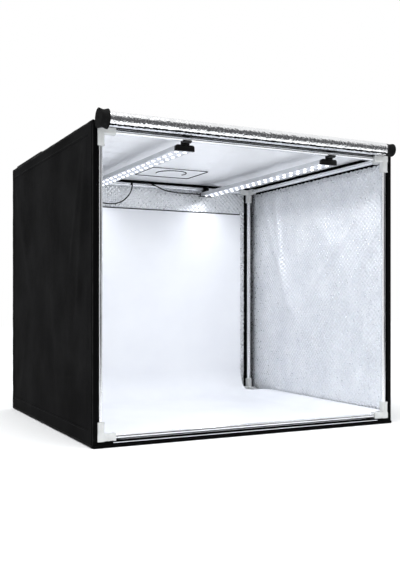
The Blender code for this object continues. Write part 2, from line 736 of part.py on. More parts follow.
def clip_outline(toward):
    """The clip seen along the tube, in Y and Z from the tube's centre. Its open side faces away
    from the lamp, which lies towards plus or minus Y."""
    inner = TUBE_RADIUS + GAP
    outer = inner + CLIP_WALL
    stem_near = TUBE_RADIUS
    stem_far = stem_near + CLIP_STEM
    foot = LAMP_FACE + LAMP_HEIGHT + GAP + CAP_WALL + GAP - FRAME_TOP
    meets = math.degrees(math.acos(stem_near / outer))
    points = arc((0, 0), outer, -CLIP_UNDER_DEGREES, -meets, CLIP_ARC_STEPS // 2)
    points += [(stem_near, foot), (stem_far, foot), (stem_far, 0)]
    points += arc((0, 0), outer, CLIP_SHOULDER_DEGREES, CLIP_OVER_DEGREES, CLIP_ARC_STEPS // 2)
    points += arc((0, 0), inner, CLIP_OVER_DEGREES, -CLIP_UNDER_DEGREES, CLIP_ARC_STEPS)
    return [(toward * y, z) for y, z in points]


def make_lamp(side, aluminium, diodes, plastic):
    """One lamp bar: channel, board with diodes, two end caps and the two clips it hangs by."""
    lamp = add_empty(f"lamp_{side}", (LAMP_X[side], 0, LAMP_FACE))
    front = FRAME_FRONT + TUBE_RADIUS + LAMP_TUBE_CLEARANCE
    rear = FRAME_REAR - TUBE_RADIUS - LAMP_TUBE_CLEARANCE
    pocket_floor = CAP_DEPTH - CAP_SLEEVE
    channel_front = front + pocket_floor + GAP
    channel_rear = rear - pocket_floor - GAP
    prism(f"lamp_{side}_channel", channel_outline(), "Y", channel_front, channel_rear, aluminium, parent=lamp)
    board_length = channel_rear - channel_front - 2 * (CAP_SLEEVE + GAP)
    board = make_board(f"lamp_{side}_board", board_length, diodes, lamp)
    board.location = (0, (channel_front + channel_rear) / 2, 0)

    half_width = LAMP_WIDTH / 2 + GAP + CAP_WALL
    low = -GAP - CAP_WALL
    high = LAMP_HEIGHT + GAP + CAP_WALL
    shoulder = CAP_CORNER_RADIUS
    outline = [(-half_width, low), (half_width, low)]
    outline += arc((half_width - shoulder, high - shoulder), shoulder, 0, 90, 4)
    outline += arc((shoulder - half_width, high - shoulder), shoulder, 90, 180, 4)
    pocket = LAMP_WIDTH / 2 + GAP
    for end, toward, outer_face in (("front", 1, front), ("rear", -1, rear)):
        cap = prism(f"lamp_{side}_end_cap_{end}", outline, "Y", outer_face,
                    outer_face + toward * CAP_DEPTH, plastic, parent=lamp)
        floor = outer_face + toward * pocket_floor
        hollow = slab(
            f"pocket_{side}_{end}",
            (-pocket, min(floor, floor + toward * (CAP_SLEEVE + OVERRUN)), -GAP),
            (pocket, max(floor, floor + toward * (CAP_SLEEVE + OVERRUN)), LAMP_HEIGHT + GAP),
            plastic,
            parent=lamp,
        )
        combine(cap, hollow)
        if end == "rear":
            round_face = arc((0, LAMP_HEIGHT - BOSS_DROP + BOSS_RADIUS / 2), BOSS_RADIUS, 0, 360, 12)[:-1]
            boss = prism(f"boss_{side}", round_face, "Y", outer_face - pocket_floor / 2,
                         outer_face + BOSS_LENGTH, plastic, parent=lamp)
            combine(cap, boss, "UNION")
        tube_y = FRAME_FRONT if end == "front" else FRAME_REAR
        prism(f"lamp_{side}_clip_{end}", clip_outline(toward), "X", -CLIP_WIDTH / 2, CLIP_WIDTH / 2, plastic,
              location=(0, tube_y, FRAME_TOP - LAMP_FACE), parent=lamp)


def smooth_route(points, step):
    """Even steps along a smooth curve through the route's own points."""
    points = [Vector(point) for point in points]
    padded = [2 * points[0] - points[1], *points, 2 * points[-1] - points[-2]]
    fine = []
    for a, b, c, d in zip(padded, padded[1:], padded[2:], padded[3:]):
        for i in range(16):
            t = i / 16
            fine.append((2 * b + (c - a) * t + (2 * a - 5 * b + 4 * c - d) * t * t
                         + (3 * b - a - 3 * c + d) * t * t * t) / 2)
    fine.append(points[-1])
    lengths = [0.0]
    for a, b in zip(fine, fine[1:]):
        lengths.append(lengths[-1] + (b - a).length)
    count = max(2, round(lengths[-1] / step))
    route = []
    k = 0
    for i in range(count + 1):
        target = lengths[-1] * i / count
        while k < len(fine) - 2 and lengths[k + 1] < target:
            k += 1
        share = (target - lengths[k]) / (lengths[k + 1] - lengths[k])
        route.append(fine[k].lerp(fine[k + 1], min(share, 1)))
    return route, lengths[-1]


# The leads' ways, in X from the middle and in Y and Z from the rear top tube
LEFT_ROUTE = (
    (-0.2000, -0.0037, -0.0213), (-0.2000, 0.0020, -0.0214), (-0.1995, 0.0068, -0.0232), (-0.1980, 0.0092, -0.0275),
    (-0.1935, 0.0096, -0.0350), (-0.1850, 0.0090, -0.0460), (-0.1700, 0.0080, -0.0590), (-0.1500, 0.0070, -0.0675),
    (-0.1250, 0.0062, -0.0710), (-0.1000, 0.0055, -0.0685), (-0.0780, 0.0040, -0.0605), (-0.0620, 0.0010, -0.0480),
    (-0.0520, -0.0035, -0.0340), (-0.0470, -0.0085, -0.0210), (-0.0450, -0.0110, -0.0100), (-0.0442, -0.0105, 0.0010),
    (-0.0440, -0.0060, 0.0090), (-0.0440, 0.0015, 0.0110), (-0.0440, 0.0090, 0.0092), (-0.0440, 0.0140, 0.0090),
    (-0.0440, 0.0194, 0.0090),
)
RIGHT_ROUTE = (
    (0.2450, -0.0037, -0.0213), (0.2449, 0.0020, -0.0210), (0.2425, 0.0062, -0.0200), (0.2365, 0.0080, -0.0185),
    (0.2250, 0.0082, -0.0170), (0.2000, 0.0082, -0.0164), (0.1700, 0.0080, -0.0168), (0.1400, 0.0070, -0.0165),
    (0.1150, 0.0048, -0.0153), (0.0950, 0.0008, -0.0135), (0.0780, -0.0045, -0.0113), (0.0620, -0.0088, -0.0070),
    (0.0460, -0.0110, -0.0010), (0.0300, -0.0105, 0.0050), (0.0140, -0.0085, 0.0105), (-0.0010, -0.0058, 0.0128),
    (-0.0150, -0.0020, 0.0128), (-0.0265, 0.0018, 0.0114), (-0.0315, 0.0062, 0.0095), (-0.0320, 0.0095, 0.0090),
    (-0.0320, 0.0145, 0.0090), (-0.0320, 0.0194, 0.0090),
)


def make_lead(name, route, rubber):
    route = [(x, FRAME_REAR + y, FRAME_TOP + z) for x, y, z in route]
    points, length = smooth_route(route, LEAD_STEP)
    curve = bpy.data.curves.new(name, "CURVE")
    curve.dimensions = "3D"
    curve.bevel_depth = LEAD_DIAMETER / 2
    curve.bevel_resolution = 2
    curve.use_fill_caps = True
    spline = curve.splines.new("POLY")
    spline.points.add(len(points) - 1)
    for place, point in zip(spline.points, points):
        place.co = (*point, 1)
    curve.materials.append(rubber)
    bpy.context.scene.collection.objects.link(bpy.data.objects.new(name, curve))
    print(f"{name}: {length:.3f} m long")


def make_outlet(rubber, plastic, tape_piece):
    """The grommet through the rear wall, where both leads leave, and the inlet behind it."""
    centre = (GROMMET_X, GROMMET_Z)
    half = GROMMET_SPACING / 2
    back = DEPTH / 2
    front = back - TAPE_FACE - GAP
    hole = prism("grommet_hole", slot_outline(centre, half, GROMMET_BODY_RADIUS + GAP), "Y",
                 front - OVERRUN, back + OVERRUN, rubber)
    for piece in (bpy.data.objects["cover_rear"], bpy.data.objects["lining_rear"], tape_piece):
        combine(piece, hole)
    grommet = prism("cable_grommet", slot_outline(centre, half, GROMMET_BODY_RADIUS), "Y",
                    front - GROMMET_FLANGE_THICKNESS / 2, back, rubber)
    flange = prism("grommet_flange", slot_outline(centre, half, GROMMET_FLANGE_RADIUS), "Y",
                   front - GROMMET_FLANGE_THICKNESS, front, rubber)
    combine(grommet, flange, "UNION")
    for sign in (-1, 1):
        bore = arc((centre[0] + sign * half, centre[1]), LEAD_DIAMETER / 2 + GAP, 0, 360, 12)[:-1]
        combine(grommet, prism(f"grommet_bore_{sign}", bore, "Y", front - OVERRUN, back + OVERRUN, rubber))

    inner = back + GAP
    inlet = slab(
        "power_inlet",
        (GROMMET_X - INLET_WIDTH / 2, inner, GROMMET_Z - INLET_HEIGHT / 2),
        (GROMMET_X + INLET_WIDTH / 2, inner + INLET_DEPTH, GROMMET_Z + INLET_HEIGHT / 2),
        plastic,
    )
    round_edges(inlet, INLET_EDGE_RADIUS)
    outer = inner + INLET_DEPTH
    socket = arc(centre, INLET_SOCKET_RADIUS, 0, 360, 16)[:-1]
    combine(inlet, prism("inlet_socket", socket, "Y", outer - INLET_SOCKET_DEPTH, outer + OVERRUN, plastic))
    pin = arc(centre, INLET_PIN_RADIUS, 0, 360, 8)[:-1]
    floor = outer - INLET_SOCKET_DEPTH
    combine(inlet, prism("inlet_pin", pin, "Y", floor - INLET_PIN_RADIUS, floor + INLET_PIN_LENGTH, plastic),
            "UNION")


def main():
    for piece in list(bpy.data.objects):
        bpy.data.objects.remove(piece)
    cover = make_material("cover cloth", (0.012, 0.012, 0.013), 0.75)
    film = make_material("lining film", (0.74, 0.77, 0.82), 0.35, 0.6)
    tape = make_material("seam tape", (0.010, 0.010, 0.011), 0.8)
    aluminium = make_material("tube aluminium", (0.80, 0.81, 0.83), 0.25, 1.0)
    connector = make_material("connector plastic", (0.60, 0.61, 0.60), 0.5)
    strip = make_material("hook and loop strip", (0.008, 0.008, 0.009), 0.9)
    white = make_material("backdrop sheet", (0.90, 0.91, 0.94), 0.45)
    lamp_metal = make_material("lamp channel", (0.82, 0.83, 0.85), 0.4, 0.2)
    diodes = make_material("lamp board", (0.95, 0.96, 1.0), 0.3)
    black_plastic = make_material("black plastic", (0.010, 0.010, 0.010), 0.45)
    rubber = make_material("lead rubber", (0.008, 0.008, 0.008), 0.5)

    make_cover(cover, film)
    rear_tape = make_seam_tapes(tape)
    make_binding(tape)
    make_frame(aluminium, connector)
    make_door(film, strip)
    make_backdrop(white, strip)
    make_flaps(cover, film)
    for side in ("left", "right"):
        make_lamp(side, lamp_metal, diodes, black_plastic)
    make_lead("lead_left", LEFT_ROUTE, rubber)
    make_lead("lead_right", RIGHT_ROUTE, rubber)
    make_outlet(rubber, black_plastic, rear_tape)


main()
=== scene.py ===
"""A light tent: a black cloth cube on a tube frame, lined with silver film and lit by two lamp bars."""

import math

import bmesh
import bpy
import numpy as np
from mathutils import Matrix, Vector, noise


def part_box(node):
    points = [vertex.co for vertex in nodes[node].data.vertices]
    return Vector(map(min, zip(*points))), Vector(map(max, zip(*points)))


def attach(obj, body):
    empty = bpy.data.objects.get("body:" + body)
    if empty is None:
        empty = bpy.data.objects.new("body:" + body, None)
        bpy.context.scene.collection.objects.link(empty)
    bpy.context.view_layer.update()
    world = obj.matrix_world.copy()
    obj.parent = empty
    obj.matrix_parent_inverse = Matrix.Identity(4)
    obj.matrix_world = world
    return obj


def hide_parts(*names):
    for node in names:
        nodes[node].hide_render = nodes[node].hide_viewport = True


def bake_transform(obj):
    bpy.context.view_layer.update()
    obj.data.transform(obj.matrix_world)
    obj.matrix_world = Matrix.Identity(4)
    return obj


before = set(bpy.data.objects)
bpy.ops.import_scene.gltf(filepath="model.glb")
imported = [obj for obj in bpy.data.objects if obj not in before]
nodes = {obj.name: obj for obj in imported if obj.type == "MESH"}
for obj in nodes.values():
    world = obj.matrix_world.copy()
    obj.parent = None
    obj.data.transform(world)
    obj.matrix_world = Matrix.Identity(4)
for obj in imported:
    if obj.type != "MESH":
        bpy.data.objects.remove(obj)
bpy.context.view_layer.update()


# Camera: level, a little below the middle of the tent, turned towards its left front corner.
# The lens is shifted up so that the uprights stay upright.
def new_object(name, data):
    made = bpy.data.objects.new(name, data)
    bpy.context.scene.collection.objects.link(made)
    return made


camera = new_object("camera", bpy.data.cameras.new("camera"))
camera.data.sensor_width = 36
camera.data.lens = 49.395
camera.data.shift_y = 0.03057
camera.location = (-1.0559, -2.1697, 0.348)
camera.rotation_euler = (math.radians(90), 0, math.radians(-26.671))
bpy.context.scene.camera = camera
bpy.context.scene.view_settings.view_transform = "Standard"


# Leads: two thin black rubber cords, moulded on to the lamps' rear end caps. They hang free
# behind the bars and climb over the rear top tube to the grommet in the rear wall.
def shader_input(material, label):
    return material.node_tree.nodes["Principled BSDF"].inputs[label]


def new_material(name, colour, roughness, metallic=0.0, specular=0.5):
    made = bpy.data.materials.new(name)
    made.use_nodes = True
    shader_input(made, "Base Color").default_value = (*colour, 1)
    shader_input(made, "Roughness").default_value = roughness
    shader_input(made, "Metallic").default_value = metallic
    shader_input(made, "Specular IOR Level").default_value = specular
    return made


def add_node(tree, kind, inputs=(), **settings):
    """A node with its settings made, and its inputs set or linked to other nodes' outputs."""
    node = tree.nodes.new(kind)
    for name, value in settings.items():
        setattr(node, name, value)
    for label, value in dict(inputs).items():
        if isinstance(value, bpy.types.NodeSocket):
            tree.links.new(value, node.inputs[label])
        else:
            node.inputs[label].default_value = value
    return node


def texture_on(material, kind, stretch, inputs):
    """A texture laid on the piece's own coordinates in metres, stretched."""
    tree = material.node_tree
    place = add_node(tree, "ShaderNodeTexCoord")
    mapping = add_node(tree, "ShaderNodeMapping", {"Vector": place.outputs["Object"], "Scale": stretch})
    return add_node(tree, f"ShaderNodeTex{kind}", {"Vector": mapping.outputs["Vector"], **inputs})


def set_ramp(ramp, *stops):
    for element, (position, colour) in zip(ramp.color_ramp.elements, stops):
        element.position = position
        element.color = (*colour, 1) if isinstance(colour, tuple) else (colour, colour, colour, 1)


def mottle(material, scale, dark, light, stretch=(1, 1, 1), target="Base Color", detail=3.0, harsh=0.5):
    """Varies the shader's colour or roughness with a noise between two values."""
    texture = texture_on(material, "Noise", stretch, {"Scale": scale, "Detail": detail, "Roughness": harsh})
    ramp = add_node(material.node_tree, "ShaderNodeValToRGB", {"Fac": texture.outputs["Fac"]})
    set_ramp(ramp, (0.35, dark), (0.65, light))
    material.node_tree.links.new(ramp.outputs["Color"], shader_input(material, target))


def emboss(material, scale, depth, stretch=(1, 1, 1), kind="Noise"):
    """Adds one layer of fine relief to those that the shader has. Its depth is in metres."""
    texture = texture_on(material, kind, stretch, {"Scale": scale})
    if kind == "Wave":
        texture.bands_direction = "DIAGONAL"
    height = texture.outputs["Distance" if kind == "Voronoi" else "Fac"]
    bump = add_node(material.node_tree, "ShaderNodeBump", {"Distance": depth, "Height": height})
    normal = shader_input(material, "Normal")
    if normal.is_linked:
        material.node_tree.links.new(normal.links[0].from_socket, bump.inputs["Normal"])
    material.node_tree.links.new(bump.outputs["Normal"], normal)


def add_piece(name, mesh, material, body, replaced=(), sharp=40):
    """Turns a piece's faces outward, smooths them and gives the piece its body in the frame when one is
    named; otherwise its place is baked into its mesh.
    """
    if isinstance(mesh, bmesh.types.BMesh):
        bmesh.ops.recalc_face_normals(mesh, faces=mesh.faces)
        made = bpy.data.meshes.new(name)
        mesh.to_mesh(made)
        mesh.free()
        mesh = made
    mesh.shade_smooth()
    mesh.set_sharp_from_angle(angle=math.radians(sharp))
    if material:
        mesh.materials.clear()
        mesh.materials.append(material)
    piece = new_object(name, mesh)
    if isinstance(body, str):
        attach(piece, body)
    else:
        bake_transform(piece)
    if replaced:
        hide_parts(*replaced)
    return piece


def smooth_path(points, step):
    """Evenly spaced points on a smooth curve through the given ones, and its length."""
    points = [Vector(point) for point in points]
    padded = [2 * points[0] - points[1], *points, 2 * points[-1] - points[-2]]
    fine = []
    for a, b, c, d in zip(padded, padded[1:], padded[2:], padded[3:]):
        for i in range(16):
            t = i / 16
            fine.append((2 * b + (c - a) * t + (2 * a - 5 * b + 4 * c - d) * t * t
                         + (3 * b - a - 3 * c + d) * t * t * t) / 2)
    fine.append(points[-1])
    lengths = np.concatenate([[0], np.cumsum([(b - a).length for a, b in zip(fine, fine[1:])])])
    stops = np.linspace(0, lengths[-1], max(3, round(lengths[-1] / step) + 1))
    flat = np.array(fine)
    return np.column_stack([np.interp(stops, lengths, flat[:, k]) for k in range(3)]), float(lengths[-1])


def bridge(bm, first, second):
    """Joins two closed rings of corners with faces."""
    for k in range(len(first)):
        bm.faces.new((first[k - 1], first[k], second[k], second[k - 1]))


def round_bar(bm, path, radius, sides=12):
    """A closed round bar along a path. The radius is one number, or one for each point."""
    path = [Vector(point) for point in path]
    radii = radius if hasattr(radius, "__len__") else [radius] * len(path)
    rings = []
    side = None
    for i, point in enumerate(path):
        along = (path[min(i + 1, len(path) - 1)] - path[max(i - 1, 0)]).normalized()
        if side is None:
            side = along.orthogonal().normalized()
        side = (side - along * side.dot(along)).normalized()
        up = along.cross(side)
        ring = []
        for turn in [math.tau * k / sides for k in range(sides)]:
            ring.append(bm.verts.new(point + radii[i] * (math.cos(turn) * side + math.sin(turn) * up)))
        rings.append(ring)
    for first, second in zip(rings, rings[1:]):
        bridge(bm, first, second)
    bm.faces.new(rings[0])
    bm.faces.new(rings[-1])
    return bm


rubber = new_material("lead rubber", (0.0015, 0.0015, 0.0015), 0.6, specular=0.06)
mottle(rubber, 90, 0.5, 0.7, target="Roughness")
emboss(rubber, 900, 0.0001)
lead_diameter = 0.004
# Points in X from the middle, and in Y and Z from the rear top tube's centre line.
lead_ways = {
    "left": (
        (-0.2000, -0.0037, -0.0213), (-0.2000, 0.0020, -0.0214), (-0.1995, 0.0068, -0.0232),
        (-0.1980, 0.0092, -0.0275), (-0.1935, 0.0096, -0.0350), (-0.1850, 0.0090, -0.0460),
        (-0.1700, 0.0080, -0.0590), (-0.1500, 0.0070, -0.0675), (-0.1250, 0.0062, -0.0710),
        (-0.1000, 0.0055, -0.0685), (-0.0780, 0.0040, -0.0605), (-0.0620, 0.0010, -0.0480),
        (-0.0520, -0.0035, -0.0340), (-0.0470, -0.0085, -0.0210), (-0.0450, -0.0110, -0.0100),
        (-0.0442, -0.0105, 0.0010), (-0.0440, -0.0060, 0.0090), (-0.0440, 0.0015, 0.0110),
        (-0.0440, 0.0090, 0.0092), (-0.0440, 0.0140, 0.0090), (-0.0440, 0.0194, 0.0090),
    ),
    "right": (
        (0.2450, -0.0037, -0.0213), (0.2449, 0.0020, -0.0210), (0.2425, 0.0062, -0.0200),
        (0.2365, 0.0080, -0.0185), (0.2250, 0.0082, -0.0170), (0.2000, 0.0082, -0.0164),
        (0.1700, 0.0080, -0.0168), (0.1400, 0.0070, -0.0165), (0.1150, 0.0048, -0.0153),
        (0.0950, 0.0008, -0.0135), (0.0780, -0.0045, -0.0113), (0.0620, -0.0088, -0.0070),
        (0.0460, -0.0110, -0.0010), (0.0300, -0.0105, 0.0050), (0.0140, -0.0085, 0.0105),
        (-0.0010, -0.0058, 0.0128), (-0.0150, -0.0020, 0.0128), (-0.0265, 0.0018, 0.0114),
        (-0.0315, 0.0062, 0.0095), (-0.0320, 0.0095, 0.0090), (-0.0320, 0.0145, 0.0090),
        (-0.0320, 0.0194, 0.0090),
    ),
}
low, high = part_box("top_tube_rear")
tube_middle = (low + high) / 2
for side, ways in lead_ways.items():
    path, length = smooth_path([(x, tube_middle.y + y, tube_middle.z + z) for x, y, z in ways], 0.004)
    toward = 0.13 if side == "left" else -0.13
    bend = (f"{side}_lamp", "tent", path[0], path[0] + np.array((toward, 0, 0)))
    lead = add_piece(f"lead_{side}_skin", round_bar(bmesh.new(), path, lead_diameter / 2), rubber, bend,
                     [f"lead_{side}"], 60)


# Frame tubes: thin-walled drawn aluminium, 13 mm across, cut square. Posts, cross tubes and side
# tubes are pushed into the corner connectors.
def aluminium_along(axis):
    """Drawn aluminium, its faint lines running along the tube."""
    stretch = tuple(0.02 if k == axis else 1.0 for k in range(3))
    made = new_material(f"tube aluminium {'XYZ'[axis]}", (0.80, 0.81, 0.83), 0.22, 1.0)
    mottle(made, 420, 0.14, 0.34, stretch, "Roughness", 5.0)
    emboss(made, 700, 0.00004, stretch)
    return made


def hollow_tube(low, high, axis, wall, sides=40):
    """A tube filling the box from low to high, open at both ends."""
    across, up = (k for k in range(3) if k != axis)
    outer = (high[across] - low[across]) / 2
    bm = bmesh.new()
    rings = []
    for radius, end in ((outer, low), (outer, high), (outer - wall, high), (outer - wall, low)):
        ring = []
        for turn in [math.tau * k / sides for k in range(sides)]:
            place = (low + high) / 2
            place[axis] = end[axis]
            place[across] += radius * math.cos(turn)
            place[up] += radius * math.sin(turn)
            ring.append(bm.verts.new(place))
        rings.append(ring)
    for first, second in zip(rings, rings[1:] + rings[:1]):
        bridge(bm, first, second)
    return bm


aluminium = [aluminium_along(axis) for axis in range(3)]
for name in sorted(name for name in nodes if name.startswith("post_") or "_tube_" in name):
    low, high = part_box(name)
    axis = max(range(3), key=lambda k: high[k] - low[k])
    add_piece(f"{name}_skin", hollow_tube(low, high, axis, 0.001), aluminium[axis], "tent", [name])


# Corner connectors: one light grey moulding used eight times, three square sockets with rounded
# edges meeting in a corner, with a bead round each mouth.
def arc(centre, radius, start, end, steps):
    angles = np.radians(np.linspace(start, end, steps + 1))
    return [(centre[0] + radius * math.cos(a), centre[1] + radius * math.sin(a)) for a in angles]


def circle(centre, radius, sides):
    return arc(centre, radius, 0, 360, sides)[:-1]


def rounded_outline(half_width, half_height, radius, steps=5, centre=(0, 0)):
    points = []
    for across, up, start in ((1, 1, 0), (-1, 1, 90), (-1, -1, 180), (1, -1, 270)):
        corner = (centre[0] + across * (half_width - radius), centre[1] + up * (half_height - radius))
        points += arc(corner, radius, start, start + 90, steps)
    return points


def prism(outline, axis, start, end):
    """An outline in the two other axes, in X, Y, Z order, pushed along the axis."""
    bm = bmesh.new()
    rings = []
    for along in (start, end):
        places = np.insert(np.array(outline, float), "XYZ".index(axis), along, axis=1)
        rings.append([bm.verts.new(place) for place in places])
        bm.faces.new(rings[-1])
    bridge(bm, *rings)
    return bm


def combined(first, joined=(), cut=(), last=(), bevel=0.0, segments=2):
    """The mesh of a solid with others joined to it, cut from it and joined last, its edges rounded."""
    scratch = []
    for solid in (first, *joined, *cut, *last):
        bmesh.ops.recalc_face_normals(solid, faces=solid.faces)
        mesh = bpy.data.meshes.new("scratch")
        solid.to_mesh(mesh)
        solid.free()
        scratch.append(new_object("scratch", mesh))
    whole, *others = scratch
    cuts = range(len(joined), len(joined) + len(cut))
    for number, other in enumerate(others):
        modifier = whole.modifiers.new("combine", "BOOLEAN")
        modifier.operation = "DIFFERENCE" if number in cuts else "UNION"
        modifier.solver = "EXACT"
        modifier.object = other
    if bevel:
        modifier = whole.modifiers.new("rounded edges", "BEVEL")
        modifier.width = bevel
        modifier.segments = segments
        modifier.angle_limit = math.radians(40)
    graph = bpy.context.evaluated_depsgraph_get()
    mesh = bpy.data.meshes.new_from_object(whole.evaluated_get(graph))
    for made in scratch:
        bpy.data.objects.remove(made)
    return mesh


def connector_mesh(half, reach, bore):
    outline = rounded_outline(half, half, 0.0035)
    bead = rounded_outline(half + 0.0006, half + 0.0006, 0.0038)
    arms = [prism(outline, axis, -half, reach) for axis in "XYZ"]
    beads = [prism(bead, axis, reach - 0.0045, reach - 0.0005) for axis in "XYZ"]
    bores = [prism(circle((0, 0), bore, 40), axis, half + 0.001, reach + 0.01) for axis in "XYZ"]
    return combined(arms[0], arms[1:] + beads, bores)


connector_plastic = new_material("connector plastic", (0.58, 0.59, 0.585), 0.42)
mottle(connector_plastic, 60, (0.54, 0.55, 0.545), (0.62, 0.63, 0.625))
emboss(connector_plastic, 1400, 0.00006)
connector_half = 0.009
moulding = connector_mesh(connector_half, 0.038, 0.0068)
tent_middle = (0, 0, 0.4)
for name in sorted(name for name in nodes if name.startswith("connector_")):
    low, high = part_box(name)
    inward = [1 if low[k] < tent_middle[k] else -1 for k in range(3)]
    corner = [low[k] + connector_half if inward[k] > 0 else high[k] - connector_half for k in range(3)]
    mesh = moulding.copy()
    mesh.transform(Matrix.Translation(corner) @ Matrix.Diagonal((*inward, 1)))
    if math.prod(inward) < 0:
        mesh.flip_normals()
    add_piece(f"{name}_skin", mesh, connector_plastic, "tent", [name])


# Cover: five panels of black coated nylon, hemmed and sewn together, drawn tight over the frame so
# that soft folds run down from the corners.
def nylon_cloth(name, dark, light):
    made = new_material(name, (dark, dark, dark), 0.9, specular=0.02)
    mottle(made, 7, (dark, dark, dark * 1.05), (light, light, light * 1.04))
    emboss(made, 1500, 0.00010)
    emboss(made, 30, 0.0010, (1, 1, 0.8))
    return made


def with_seams(low, high, count, seams):
    """Even grid lines, with close ones added at each seam."""
    lines = list(np.linspace(low, high, count))
    for seam in seams:
        lines = [line for line in lines if abs(line - seam) > 0.0045]
        lines += [seam - 0.0035, seam - 0.0015, seam, seam + 0.0015, seam + 0.0035]
    return np.array(sorted(lines))


def lattice(first, second):
    return np.meshgrid(first, second, indexing="ij")


def grid_of(x, y, z):
    return np.stack(np.broadcast_arrays(x, y, z), -1)


def sheet(front, back):
    """A closed sheet between two grids of points."""
    front, back = np.asarray(front), np.asarray(back)
    columns, rows = front.shape[:2]
    points = np.concatenate([front.reshape(-1, 3), back.reshape(-1, 3)])
    index = np.arange(columns * rows).reshape(columns, rows)
    quads = np.stack([index[:-1, :-1], index[1:, :-1], index[1:, 1:], index[:-1, 1:]], -1).reshape(-1, 4)
    backs = quads[:, ::-1] + columns * rows
    loop = np.concatenate([index[:, 0], index[-1, 1:], index[-2::-1, -1], index[0, -2:0:-1]])
    rim = np.stack([np.roll(loop, 1), np.roll(loop, 1) + columns * rows, loop + columns * rows, loop], -1)
    mesh = bpy.data.meshes.new("sheet")
    mesh.from_pydata(points.tolist(), [], np.concatenate([quads, backs, rim]).tolist())
    bm = bmesh.new()
    bm.from_mesh(mesh)
    bpy.data.meshes.remove(mesh)
    return bm


def cut_sheet(front, back, hole, axis):
    """A closed sheet with a hole through it, the hole's outline given as for a prism."""
    face = cover_high["XYZ".index(axis)]
    return combined(sheet(front, back), cut=[prism(hole, axis, face - 0.01, face + 0.01)])


def stretched(name, mesh, material):
    """A panel drawn tight across the axis. It stands for the solid of its name."""
    panel = add_piece(f"{name}_skin", mesh, material, "tent", [name], 50)


def dress(name, material):
    """Gives a solid that stays in view its material."""
    nodes[name].data.materials.clear()
    nodes[name].data.materials.append(material)


def ease(value):
    """From 0 to 1, level at both ends."""
    value = np.clip(value, 0, 1)
    return value * value * (3 - 2 * value)


def fade(value, low, high, margin):
    """From 0 at both ends of a span to 1 inside its margins."""
    return ease(np.minimum(value - low, high - value) / margin)


def ridge(a, b, start, end, width, sharp=1.0):
    """A fold along a line from start to end, 1 on the line and dying away beside it and at its ends."""
    along = np.array(end, float) - np.array(start, float)
    length = np.linalg.norm(along)
    along /= length
    s = (a - start[0]) * along[0] + (b - start[1]) * along[1]
    t = -(a - start[0]) * along[1] + (b - start[1]) * along[0]
    ends = np.clip(np.minimum(s / length + 0.15, 1.1 - s / length) * 4, 0, 1)
    return np.exp(-np.abs(t / width) ** (2 * sharp)) * ends


def folds(a, b, *lines):
    """Several folds together, each with its height, start, end and width, and how sharp it is."""
    return sum(height * ridge(a, b, *line) for height, *line in lines)


def grooves(*runs):
    """1 along the sewn lines of a panel, dying away beside them."""
    return sum(np.exp(-((value - line) / 0.0016) ** 2) for value, lines in runs for line in lines)


def noise_grid(a, b, scale, seed):
    values = [noise.fractal(Vector((x * scale, y * scale, seed)), 0.9, 2.0, 3)
              for x, y in zip(a.ravel(), b.ravel())]
    return np.array(values).reshape(a.shape)


def puckers(a, b, scale, seed):
    return np.clip(noise_grid(a, b, scale, seed), 0, 1)


def wall_pull(y, z):
    """How far a side wall is drawn inwards, cover and lining together."""
    along = np.clip((y - wall_y[0] - 0.03) / (wall_y[1] - wall_y[0] - 0.06), 0, 1)
    up = np.clip((z - wall_z[0] - 0.03) / (wall_z[1] - wall_z[0] - 0.06), 0, 1)
    depth = 0.25
    pulls = ((0.02, 0.46, 0.11, 0.55), (0.98, 0.62, 0.15, 0.35), (0.55, 0.30, 0.20, 0.30))
    for top, bottom, breadth, weight in pulls:
        depth = depth + weight * np.exp(-((along - bottom - (top - bottom) * up) / breadth) ** 2)
    return 0.008 * np.sin(math.pi * along) * np.sin(math.pi * up) * depth


nylon = nylon_cloth("cover nylon", 0.0042, 0.0085)
cover_low = Vector((-0.45, -0.40, 0.0))
cover_high = Vector((0.45, 0.40, 0.78))
cloth = 0.0012
edge_hem, top_hem, bottom_hem = 0.018, 0.028, 0.036
low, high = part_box("cover_left")
wall_y, wall_z = (low.y, high.y), (low.z, high.z)
hem_front, hem_rear = low.y + 0.030, high.y - edge_hem
hem_bottom, hem_top = low.z + bottom_hem, high.z - top_hem
seams_y, seams_z = (hem_front, hem_rear), (hem_bottom, hem_top)
y, z = lattice(with_seams(*wall_y, 96, seams_y), with_seams(*wall_z, 96, seams_z))
creased = folds(
    y, z,
    (0.0026, (hem_front + 0.01, hem_top), (-0.27, 0.30), 0.020),
    (0.0020, (hem_front + 0.03, hem_top), (-0.20, 0.42), 0.014),
    (0.0016, (hem_front + 0.015, 0.20), (-0.05, 0.26), 0.018),
    (0.0022, (-0.13, hem_bottom), (-0.02, 0.46), 0.030),
    (0.0018, (hem_rear - 0.02, hem_top), (0.20, 0.40), 0.024),
    (0.0015, (0.30, hem_bottom), (0.20, 0.36), 0.026),
)
band = (y < hem_front) | (y > hem_rear) | (z < hem_bottom) | (z > hem_top)
reach = 0.004
in_hem = (y >= hem_front - reach) & (y <= hem_rear + reach)
in_hem &= (z >= hem_bottom - reach) & (z <= hem_top + reach)
sewn_lines = grooves((y, seams_y), (z, seams_z))
raised = np.where(band, 0.0010, 0.0) - 0.0009 * sewn_lines * in_hem
for side, sign in (("left", -1), ("right", 1)):
    relief = creased + 0.0012 * puckers(y, z, 9, 3.1 + sign)
    out = cover_high.x - wall_pull(y, z) + relief * fade(y, *wall_y, 0.05) * fade(z, *wall_z, 0.05)
    mesh = sheet(grid_of(sign * (out + raised), y, z), grid_of(sign * (out - cloth), y, z))
    stretched(f"cover_{side}", mesh, nylon)

